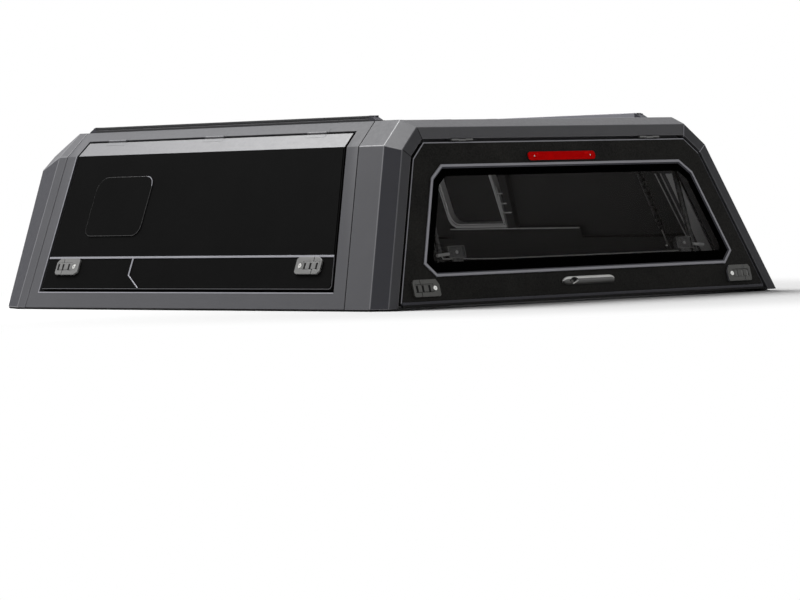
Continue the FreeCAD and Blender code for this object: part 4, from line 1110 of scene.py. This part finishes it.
# corner cuts (along, up) at outer foot, inner foot, inner top and outer top; the rest lies along it from outside
Lock = namedtuple("Lock", "cuts seam slots key")
FRONT_LOCK = Lock(
    ((0.006, 0.006), (0.016, 0.009), (0.007, 0.008), (0.015, 0.013)), 0.0335, (0.0120, 0.0345, 0.0625), 0.0885)
REAR_LOCK = Lock(
    ((0.012, 0.009), (0.009, 0.006), (0.008, 0.007), (0.016, 0.010)), 0.0365, (0.0190, 0.0470, 0.0715), 0.0925)
HATCH_LOCK = Lock(
    ((0.004, 0.004), (0.004, 0.004), (0.011, 0.017), (0.008, 0.008)), 0.0305, (0.0150, 0.0380, 0.0645), 0.0870)


def lock_outline(start, end, low, high, cuts):
    """A lock plate's outline with its four corners cut, start being its outer end."""
    toward = 1 if end > start else -1
    foot, inner_foot, inner_top, top = cuts
    loop = [
        (start + toward * foot[0], low), (end - toward * inner_foot[0], low), (end, low + inner_foot[1]),
        (end, high - inner_top[1]), (end - toward * inner_top[0], high), (start + toward * top[0], high),
        (start, high - top[1]), (start, low + foot[1])]
    return rounded(loop if toward > 0 else loop[::-1], 0.0016, 3)


def lock_plate(flat, start, end, low, high, relief, finishes, pattern, paint=None):
    """A lock plate with the hollow for its paddle and a key barrel near its inner end."""
    toward = 1 if end > start else -1
    middle = (low + high) / 2
    loop = lock_outline(start, end, low, high, pattern.cuts)
    plate = built("plate", finishes, (prism, flat, loop, -0.0004, relief))
    left, right = sorted((start + toward * 0.0078, start + toward * 0.0805))
    seam = start + toward * pattern.seam
    key = flat(start + toward * pattern.key, middle - 0.001)
    above = relief + 0.01
    carve(
        plate, (prism, flat, oblong(left, middle - 0.0125, right, middle + 0.0125), relief - 0.0044, above),
        (prism, flat, oblong(seam - 0.0011, low - 0.001, seam + 0.0011, middle - 0.0120), relief - 0.0022, above),
        (prism, flat, oblong(seam - 0.0011, middle + 0.0120, seam + 0.0011, high + 0.001), relief - 0.0022, above),
        (lathe, key + flat.out * (relief - 0.0030), flat.out, [(0, 0), (0.0080, 0), (0.0080, 0.02), (0, 0.02)]))
    soften(plate, sizes().plate_radius, 28)
    if paint:
        for face in plate.data.polygons:
            face.material_index = paint(face)
    barrel = built("barrel", ["rod_chrome"], (lathe, key, flat.out, [
        (0, relief - 0.0032), (0.0074, relief - 0.0032), (0.0074, relief + 0.0002), (0.0066, relief + 0.0010),
        (0, relief + 0.0010)]))
    at = flat.place(key)
    loop = [(at.x + x, at.y + y) for x, y in (
        (-0.0033, -0.0012), (-0.0027, -0.0018), (0.0033, 0.0012), (0.0027, 0.0018))]
    return [plate, barrel, built("slot", ["rubber"], (prism, flat, loop, relief, relief + 0.0012))]


def paddle(flat, start, toward, low, high, relief, finishes, body, pattern):
    """A paddle: raised pads with slots between them, a rounded upper edge and its pin."""
    left, right = sorted((start + toward * 0.008, start + toward * 0.080))
    bottom, top = (low + high) / 2 - 0.012, (low + high) / 2 + 0.012
    shapes = [(prism, flat, oblong(left, bottom, right, top - 0.002), relief - 0.004, relief - 0.0019, 1)]
    marks = [0.008] + [mark for centre in pattern.slots for mark in (centre - 0.0042, centre + 0.0042)] + [0.080]
    for near, far in zip(marks[::2], marks[1::2]):
        if far - near > 0.0015:
            a, b = sorted((start + toward * near, start + toward * far))
            shapes.append((prism, flat, oblong(a, bottom + 0.0012, b, top - 0.0022), relief - 0.0035, relief - 0.0003))
    pads = built("pads", finishes, *shapes, soft=(0.0005, 28))
    axis = top - 0.002, relief - 0.002
    edge = built("edge", finishes[:1], (rod, flat(left, *axis), flat(right, *axis), 0.002))
    pin = built("pin", ["hinge_steel"],
                (rod, flat(left - 0.005, *axis), flat(right + 0.005, *axis), 0.0012, 12, 0.0003))
    stand_in(body, [pads, edge, pin], body, finishes[0])


class CANOPY_OT_door_locks(Maker, bpy.types.Operator):
    """Make the lock plates, key barrels and paddles of the side doors"""
    bl_idname = "canopy.door_locks"
    bl_label = "Door Locks"

    def execute(self, context):
        for side, hand, flat, chamfer in SIDES:
            node = side + "_lock_plates"
            parts = []
            for place, toward, pattern in (("front", -1, FRONT_LOCK), ("rear", 1, REAR_LOCK)):
                low, high = reach(flat, node, lambda p: (p.x > 1.0) == (toward < 0))
                start, end = (high.x, low.x) if toward < 0 else (low.x, high.x)
                parts += lock_plate(flat, start, end, low.y, high.y, high.z, ["lock_metal"], pattern)
                paddle(flat, start, toward, low.y, high.y, high.z, ["lock_metal", "rubber"],
                       f"{side}_door_{place}_paddle", pattern)
                a, b = sorted((start + toward * 0.004, end - toward * 0.002))
                loop = rounded(oblong(a, low.y + 0.004, b, low.y + 0.041), 0.004, 3)
                parts.append(built("case", ["dark_metal"], (prism, flat, loop, -0.0275, -0.0018), soft=(0.0015,)))
            stand_in(node, parts, side + "_door", "lock_metal")
        return {"FINISHED"}


class CANOPY_OT_hatch_locks(Maker, bpy.types.Operator):
    """Make the lock plates, key barrels, paddles and latches of the hatch"""
    bl_idname = "canopy.hatch_locks"
    bl_label = "Hatch Locks"

    def execute(self, context):
        node = "hatch_lock_plates"
        parts = []
        for side, hand, under in (("left", -1, "rubber"), ("right", 1, "lock_metal")):
            low, high = reach(REAR, node, lambda p: (p.x > 0) == (hand > 0))
            start, end = (high.x, low.x) if hand > 0 else (low.x, high.x)
            # On the right plate the faces that look toward the middle are light: a painted highlight
            parts += lock_plate(
                REAR, start, end, low.y, high.y, high.z, ["dark_metal", "light_trim"], HATCH_LOCK,
                lambda face: int(hand > 0 and face.normal.x < -0.6))
            paddle(REAR, start, -hand, low.y, high.y, high.z, ["dark_metal", under], f"hatch_{side}_paddle", HATCH_LOCK)
        stand_in(node, parts, "rear_hatch", "dark_metal")
        self.latches()
        return {"FINISHED"}

    def latches(self):
        """A latch behind each lower corner of the window, 0.492 m from the middle, and the ledge between them."""
        line = [(-0.5570, 0.1600), (-0.5510, 0.1500), (-0.3300, 0.1444), (0.4600, 0.1444)]
        parts = []
        for hand in (-1, 1):
            x = hand * 0.492
            loop = oblong(x - 0.035, 0.151, x + 0.035, 0.189)
            parts += [
                built("case", ["strut_paint"],
                      (prism, REAR, oblong(x - 0.022, 0.088, x + 0.022, 0.156), -0.0300, -0.0282),
                      (prism, REAR, rounded(loop, 0.004, 3), -0.0440, -0.0290), soft=(0.0012,)),
                built("rim", ["lock_metal"],
                      (frame_plate, REAR, inset(loop, 0.0005), inset(loop, 0.0025), -0.0290, -0.0265)),
                # the bolts are near white: painted highlights inside the hatch
                built("bolt", ["jamb_lining"],
                      (rod, REAR(x + hand * 0.035, 0.164, -0.0275), REAR(x + hand * 0.084, 0.160, -0.0275), 0.0050),
                      (rod, REAR(x, 0.169, -0.0300), REAR(x, 0.169, -0.0262), 0.0052))]
        # the ledge is near white: a painted highlight inside the hatch
        parts.append(built("ledge", ["jamb_lining"], (ribbon, REAR, line, 0.0028, -0.0305, -0.0285)))
        declare(unite("hatch_latches", parts), "rear_hatch", "dark_metal")


class CANOPY_OT_hinges(Maker, bpy.types.Operator):
    """Make the hinges' knuckles, leaves and pins"""
    bl_idname = "canopy.hinges"
    bl_label = "Hinges"

    def execute(self, context):
        for side, hand, flat, chamfer in SIDES:
            self.half(side + "_header_hinges", "canopy_frame", chamfer, 3, 1, "frame_paint")
            self.half(side + "_door_hinges", side + "_door", chamfer, 3, -1, "strip_paint")
        self.half("beam_hinges", "canopy_frame", REAR, 2, 1, "frame_sheen")
        self.half("hatch_hinges", "rear_hatch", REAR, 2, -1, "hatch_paint")
        return {"FINISHED"}

    def half(self, node, body, flat, count, way, leaf_paint):
        """Thin painted leaves and slim knuckles on one side of a gap; way is up the plane."""
        low, high = reach(flat, node)
        rear = flat is REAR
        axis = low.y + 0.005 if way > 0 else high.y - 0.005
        out = high.z - 0.0082
        third = HINGE_LENGTH / 3
        knuckle = 0.0024 if rear else 0.0034
        edge = (0.0090 if way < 0 else 0.0065) if rear else 0.0030
        near, far = sorted((axis + way * edge, axis + way * 0.0185))
        foot, top = sorted((axis - way * 0.0004, axis + way * 0.0032))
        leaves, steel = [], []
        for k in range(count):
            start = low.x + (high.x - low.x - HINGE_LENGTH) / (count - 1) * k
            end = start + HINGE_LENGTH
            leaves.append((prism, flat, oblong(start - 0.0015, near, end + 0.0015, far), -0.0002, 0.0004))
            spans = [(start + third, end - third)]
            if way > 0:
                spans = [(start, start + third - 0.0003), (end - third + 0.0003, end)]
                steel.append((rod, flat(start - 0.0008, axis, out), flat(end + 0.0008, axis, out), 0.0019, 12, 0.0004))
            for a, b in spans:
                steel += [(rod, flat(a, axis, out), flat(b, axis, out), knuckle, 16, 0.0004),
                          (prism, flat, oblong(a, foot, b, top), -0.0030, out + 0.0012)]
        plates = built("plates", [leaf_paint], *leaves, soft=(0.0002, 35))
        # the side hinges' knuckles are painted lighter: a painted highlight
        knuckles = built("knuckles", ["lock_metal" if rear else "frame_edge"], *steel)
        stand_in(node, [plates, knuckles], body, "hinge_steel")


class CANOPY_OT_struts(Maker, bpy.types.Operator):
    """Make the gas struts and their brackets"""
    bl_idname = "canopy.struts"
    bl_label = "Gas Struts"

    def execute(self, context):
        for place in ("right", "left", "hatch"):
            tubes, rods = place + "_strut_tubes", place + "_strut_rods"
            dressed([tubes], ["strut_paint"], 0.0010, tubes, angle=35)
            dressed([rods], ["rod_chrome"], 0.0006, rods, angle=35)
        rows = [("beam_brackets", "canopy_frame"), ("hatch_brackets", "rear_hatch")]
        for side in ("right", "left"):
            rows += [(side + "_header_brackets", "canopy_frame"), (side + "_door_brackets", side + "_door")]
        for node, body in rows:
            dressed([node], ["dark_metal"], 0.0010, body, angle=35)
        return {"FINISHED"}


# Rear hatch


class CANOPY_OT_hatch_panel(Maker, bpy.types.Operator):
    """Make the hatch's frame, its coarse black skin and the strip along its foot"""
    bl_idname = "canopy.hatch_panel"
    bl_label = "Hatch Panel"

    def execute(self, context):
        low, high = reach(REAR, "hatch_frame")

        def paint(face):
            if face.normal.dot(REAR.out) < 0.9:
                return 0
            return 2 if REAR.place(face.calc_center_median()).y < low.y + 0.006 else 1

        dressed(["hatch_frame"], ["hatch_paint", "light_trim", "flange_paint"], 0.0010, "rear_hatch", paint=paint)
        dressed(["hatch_panel"], ["hatch_paint"], 0.0008, "rear_hatch")
        end = high.x - 0.004
        # The flange strip, and under it a black rubber strip that is partly a seal and partly painted shadow under the
        # hatch
        strips = [
            built("strip", [coating], (prism, REAR, oblong(-end, low.y + foot, end, low.y + top), -0.0060, 0.0002),
                  soft=(0.0008,))
            for coating, foot, top in (("flange_paint", -0.0050, 0.0036), ("rubber", -0.0115, -0.0052))]
        rim = hatch_loop(0.0003)[:2] + hatch_loop(0.0056)[1::-1]
        strips.append(built("shade", ["flange_paint"], (prism, REAR, rim, -0.0024, -0.0017)))
        declare(unite("hatch_foot_flange", strips), "rear_hatch", "hatch_paint")
        return {"FINISHED"}


class CANOPY_OT_hatch_window(Maker, bpy.types.Operator):
    """Make the hatch's pane with its black border, and the surround"""
    bl_idname = "canopy.hatch_window"
    bl_label = "Hatch Window"

    def execute(self, context):
        loop = outline(REAR, "hatch_glass")
        pane = built("hatch_pane", ["tinted_glass"], (prism, REAR, loop, -0.0040, -0.0003), soft=(0.0005,))
        declare(pane, "rear_hatch", "tinted_glass", "hatch_glass")
        frit = sizes().frit_width
        low = min(p.y for p in loop)
        hole = [p + Vector((0, frit * 0.28)) if p.y < low + frit * 1.2 else p for p in inset(loop, frit)]
        border = built("pane_border", ["frit"],
                       (frame_plate, REAR, inset(loop, 0.0005), rounded(hole, 0.014, 6), -0.0004, -0.0001))
        declare(border, "rear_hatch", "rubber")
        self.surround()
        return {"FINISHED"}

    def surround(self):
        """The folded trim round the pane, bevelled on its inner side, whose bevel is painted dark as painted shade."""
        points = [REAR.place(v.co).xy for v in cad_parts["window_surround"].data.vertices]
        outer = [points[i] for i in convex_hull_2d(points)]
        outer = self.corners(anticlockwise([p for i, p in enumerate(outer) if (p - outer[i - 1]).length > 1e-4]))
        relief = reach(REAR, "window_surround")[1].z
        profile = ((0.0120, -0.0040), (0.0, -0.0002), (0.0, relief - 0.0008), (0.0008, relief),
                   (0.0078, relief), (0.0120, 0.0006))
        bm = bmesh.new()
        rings = [[bm.verts.new(REAR(p.x, p.y, z)) for p in inset(outer, at)] for at, z in profile]
        for k, upper in enumerate(rings[1:] + rings[:1]):
            walls(bm, rings[k], upper, int(k >= len(rings) - 2))
        surround = make("window_surround_dressed", bm, ["light_trim", "flange_paint"])
        declare(surround, "rear_hatch", "light_trim", "window_surround")

    def corners(self, loop):
        """The loop without points that lie on a straight run."""
        return [here for i, here in enumerate(loop) if (loop[i - 1] - here).normalized().dot(
            (loop[(i + 1) % len(loop)] - here).normalized()) > -0.9999]


SCREWS = (-0.117, 0.124)
# spans of the painted highlights on the lens
LENS_HIGHLIGHTS = ((-0.109, -0.101), (0.099, 0.114))
RIB_COUNT = 47
RIB_PITCH = 0.0042
FIRST_RIB = -0.098


class CANOPY_OT_brake_light(Maker, bpy.types.Operator):
    """Make the brake light: base, lens, ribs and screws"""
    bl_idname = "canopy.brake_light"
    bl_label = "Brake Light"

    def execute(self, context):
        low, high = reach(REAR, "brake_light")
        loop = oblong(low.x, low.y, high.x, high.y)
        base = built("base", ["rubber"], (prism, REAR, rounded(loop, 0.0115, 6), -0.0002, 0.0018))
        cover = built("cover", ["red_lens"], (prism, REAR, rounded(inset(loop, 0.0010), 0.0108, 8), 0.0012, 0.0052))
        seats, screws = [], []
        for x in SCREWS:
            place = REAR(x, (low.y + high.y) / 2, 0.0030)
            seats.append((lathe, place, REAR.out, [(0, 0), (0.0052, 0), (0.0064, 0.004), (0, 0.004)], 20))
            screws.append(built("screw", ["rod_chrome"],
                                (button_head, place + REAR.out * 0.0002, REAR.out, sizes().screw_radius)))
        carve(cover, *seats)
        soften(cover, 0.0016, 30, 3)
        half = 0.0016
        bm = bmesh.new()
        loop = oblong(FIRST_RIB - half, low.y + 0.0045, FIRST_RIB + half, high.y - 0.0045)
        prism(bm, REAR, loop, 0.0050, 0.0057, 0, 0.0006)
        ribs = row("ribs", bm, RIB_COUNT, REAR.along * RIB_PITCH, "red_lens")
        # raised patches near the lens's ends, painted brighter red: painted highlights
        blocks = built("blocks", ["red_block"], *[
            (prism, REAR, rounded(oblong(near, high.y - 0.0105, far, high.y - 0.0045), 0.0015, 3), 0.0050, 0.0056)
            for near, far in LENS_HIGHLIGHTS])
        stand_in("brake_light", [cover, base, ribs, blocks, *screws], "rear_hatch", "red_lens")
        return {"FINISHED"}


class CANOPY_OT_hatch_handle(Maker, bpy.types.Operator):
    """Make the sculpted pull handle with its key recess"""
    bl_idname = "canopy.hatch_handle"
    bl_label = "Hatch Handle"

    def execute(self, context):
        low, high = reach(REAR, "hatch_handle")
        foot = rounded(inset(outline(REAR, "hatch_handle"), 0.002), 0.006, 4)
        base = built("base", ["rubber"], (prism, REAR, foot, -0.0002, 0.0016), soft=(0.0005,))
        grip = built("grip", ["lock_metal", "handle_crown", "dark_metal"], (self.grip, low, high))
        carve(grip, (prism, REAR, self.eye(low, 0.0190, 0.0084), high.z - 0.0058, high.z + 0.02))
        soften(grip, 0.0005, 40)
        # Faces that look up get the painted highlight, those that look down dark metal as painted shade
        for face in grip.data.polygons:
            rise = face.normal.dot(REAR.up)
            face.material_index = 1 if rise > -0.10 else 2 if rise < -0.55 else 0  # crown, underside, face
        hollow = built("hollow", ["rubber"],
                       (prism, REAR, self.eye(low, 0.0182, 0.0078), high.z - 0.0062, high.z - 0.0052))
        profile = [(0, -0.0060), (0.0052, -0.0060), (0.0052, -0.0026), (0.0045, -0.0020), (0.0015, -0.0020),
                   (0.0015, -0.0036), (0, -0.0036)]
        barrel = built("barrel", ["dark_metal"],
                       (lathe, REAR(-0.0730, low.y + 0.0125, high.z), REAR.out, profile, 20))
        # the recess's lower rim is a painted highlight
        ends = REAR(-0.0715, low.y + 0.0050, high.z * 0.62), REAR(-0.0490, low.y + 0.0140, high.z * 0.90)
        rim = built("rim", ["handle_crown"], (rod, *ends, 0.0019, 12))
        stand_in("hatch_handle", [grip, hollow, base, barrel, rim], "rear_hatch", "lock_metal")
        return {"FINISHED"}

    def eye(self, low, half, tall):
        """An almond-shaped loop that leans with the handle."""
        count = 10
        points = []
        for way in (1, -1):
            for k in range(count):
                t = way * (2 * k / count - 1)
                points.append(Vector((-0.0660 + half * t, low.y + 0.0170 - way * tall * (1 - t * t) + 0.12 * half * t)))
        return points

    def grip(self, bm, low, high):
        """A bar whose face rolls over from its upper edge and tucks in below."""
        section = [
            (1.0, 0.10), (0.98, 0.42), (0.86, 0.74), (0.62, 0.95), (0.30, 1.0), (-0.05, 0.93),
            (-0.40, 0.76), (-0.72, 0.52), (-0.92, 0.28), (-1.0, 0.12), (-0.98, 0.10)]
        rings = []
        count = 48
        for k in range(count + 1):
            x = (high.x - 0.0006) * math.sin(math.pi * (k / count - 0.5))
            left = max(0.0, (-0.082 - x) / 0.029)
            right = max(0.0, (x - 0.092) / 0.019)
            top = high.y - 0.0008 - 0.0125 * left ** 2.4 - 0.0075 * right ** 2.0
            bottom = low.y + 0.0035 + 0.0085 * left ** 2.2 + 0.0015 * right ** 2.0 + 0.0012 * max(0.0, x / high.x)
            out = high.z * (1 - 0.45 * left ** 2.5 - 0.35 * right ** 3.0)
            middle, tall = (top + bottom) / 2, (top - bottom) / 2
            rings.append([bm.verts.new(REAR(x, middle + tall * up, out * share)) for up, share in section])
        skin(bm, rings)


# Stage


FLOOR_RADIUS = 40.0
FLOOR_DROP = 0.0005
FADE_START, FADE_END = 1.2, 2.3


class CANOPY_OT_stage(Maker, bpy.types.Operator):
    """Set up the floor, the white room, the soft boxes and the camera"""
    bl_idname = "canopy.stage"
    bl_label = "Stage"

    def execute(self, context):
        scene = bpy.context.scene
        stage = scene.canopy_stage
        self.room(scene, stage)
        self.floor(stage)
        self.soft_box("key", (-1.3, 2.7, 5.2), (0.0, 0.0, 0.3), 3.0, stage.key_power)
        self.soft_box("inner", (0.0, 0.1, 0.008), (0.0, 0.1, 1.0), 1.1, stage.inner_power)
        self.camera(scene, stage)
        scene.view_settings.view_transform = "Standard"
        return {"FINISHED"}

    def seen(self, graph):
        """1 for a ray from the camera or by way of metal or glass."""
        rays = graph.add("ShaderNodeLightPath").outputs
        found = rays["Is Camera Ray"]
        for kind in ("Is Glossy Ray", "Is Transmission Ray"):
            found = graph.add("ShaderNodeMath", {0: found, 1: rays[kind]}, operation="MAXIMUM").outputs[0]
        return found

    def room(self, scene, stage):
        world = bpy.data.worlds.new("room")
        scene.world = world
        world.use_nodes = True
        graph = Graph(world.node_tree)
        back = world.node_tree.nodes["Background"]
        back.inputs["Color"].default_value = (1, 1, 1, 1)
        strength = graph.add("ShaderNodeMapRange", {
            "Value": self.seen(graph), "To Min": stage.room_light, "To Max": 1.0})
        world.node_tree.links.new(strength.outputs["Result"], back.inputs["Strength"])

    def floor(self, stage):
        bm = bmesh.new()
        bmesh.ops.create_circle(bm, cap_ends=True, radius=FLOOR_RADIUS, segments=96)
        for v in bm.verts:
            v.co.z = -FLOOR_DROP
        mesh = bpy.data.meshes.new("floor")
        bm.to_mesh(mesh)
        bm.free()
        material = bpy.data.materials.new("floor")
        material.use_nodes = True
        graph = Graph(material.node_tree)
        shader = material.node_tree.nodes["Principled BSDF"]
        shader.inputs["Base Color"].default_value = (*stage.floor_tone, 1)
        shader.inputs["Roughness"].default_value = 0.7
        shader.inputs["Specular IOR Level"].default_value = 0.1
        glow = graph.add("ShaderNodeEmission", {"Color": (1, 1, 1, 1), "Strength": 1.0})
        place = graph.add("ShaderNodeTexCoord").outputs["Object"]
        away = graph.add("ShaderNodeVectorMath", {0: place}, operation="LENGTH")
        reach_of_fade = {"Value": away.outputs["Value"], "From Min": FADE_START, "From Max": FADE_END}
        fade = graph.add("ShaderNodeMapRange", reach_of_fade, interpolation_type="SMOOTHERSTEP")
        share = graph.add("ShaderNodeMath", {0: fade.outputs["Result"], 1: self.seen(graph)}, operation="MULTIPLY")
        mix = graph.add("ShaderNodeMixShader", {0: share.outputs[0], 1: shader.outputs[0], 2: glow.outputs[0]})
        output = material.node_tree.nodes["Material Output"]
        material.node_tree.links.new(mix.outputs[0], output.inputs["Surface"])
        mesh.materials.append(material)
        floor = bpy.data.objects.new("floor", mesh)
        bpy.context.scene.collection.objects.link(floor)

    def soft_box(self, name, place, aim, size, power):
        lamp = bpy.data.lights.new(name, "AREA")
        lamp.shape = "SQUARE"
        lamp.size = size
        lamp.energy = power
        box = bpy.data.objects.new(name, lamp)
        box.location = place
        box.rotation_mode = "QUATERNION"
        box.rotation_quaternion = (Vector(aim) - Vector(place)).to_track_quat("-Z", "Y")
        box.visible_camera = False
        bpy.context.scene.collection.objects.link(box)

    def camera(self, scene, stage):
        data = bpy.data.cameras.new("camera")
        data.lens = stage.lens
        data.clip_end = 200
        camera = bpy.data.objects.new("camera", data)
        turn = stage.azimuth
        rise = stage.elevation
        back = Vector((math.sin(turn) * math.cos(rise), -math.cos(turn) * math.cos(rise), math.sin(rise)))
        right = Vector((0, 0, 1)).cross(back).normalized()
        up = back.cross(right)
        lean, level = math.sin(stage.roll), math.cos(stage.roll)
        right, up = right * level + up * lean, up * level - right * lean
        camera.matrix_world = Matrix.Translation(stage.camera_place) @ Matrix((right, up, back)).transposed().to_4x4()
        scene.collection.objects.link(camera)
        scene.camera = camera


MAKERS = (
    CANOPY_OT_posts_and_beams,
    CANOPY_OT_side_frames,
    CANOPY_OT_front_wall,
    CANOPY_OT_roof,
    CANOPY_OT_roof_rails,
    CANOPY_OT_seals,
    CANOPY_OT_door_frames,
    CANOPY_OT_door_panels,
    CANOPY_OT_door_trims,
    CANOPY_OT_cover_plates,
    CANOPY_OT_door_locks,
    CANOPY_OT_hinges,
    CANOPY_OT_struts,
    CANOPY_OT_hatch_panel,
    CANOPY_OT_hatch_window,
    CANOPY_OT_brake_light,
    CANOPY_OT_hatch_handle,
    CANOPY_OT_hatch_locks,
    CANOPY_OT_stage,
)


class CANOPY_PT_sidebar(bpy.types.Panel):
    """Lists the makers of the canopy's pieces and their sizes and colours"""
    bl_idname = "CANOPY_PT_sidebar"
    bl_label = "Pickup Truck Canopy"
    bl_space_type = "VIEW_3D"
    bl_region_type = "UI"
    bl_category = "Canopy"

    def draw(self, context):
        layout = self.layout
        for maker in MAKERS:
            layout.operator(maker.bl_idname)
        for group in (context.scene.canopy_finishes, context.scene.canopy_sizes, context.scene.canopy_stage):
            box = layout.box()
            for name in group.__annotations__:
                box.prop(group, name)


CLASSES = (CanopyFinishes, CanopySizes, CanopyStage, *MAKERS, CANOPY_PT_sidebar)


def register():
    for item in CLASSES:
        bpy.utils.register_class(item)
    bpy.types.Scene.canopy_finishes = PointerProperty(type=CanopyFinishes)
    bpy.types.Scene.canopy_sizes = PointerProperty(type=CanopySizes)
    bpy.types.Scene.canopy_stage = PointerProperty(type=CanopyStage)


def unregister():
    del bpy.types.Scene.canopy_stage
    del bpy.types.Scene.canopy_sizes
    del bpy.types.Scene.canopy_finishes
    for item in reversed(CLASSES):
        bpy.utils.unregister_class(item)


def main():
    register()
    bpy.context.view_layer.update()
    for maker in MAKERS:
        group, name = maker.bl_idname.split(".")
        getattr(getattr(bpy.ops, group), name)()


if __name__ == "__main__":
    main()
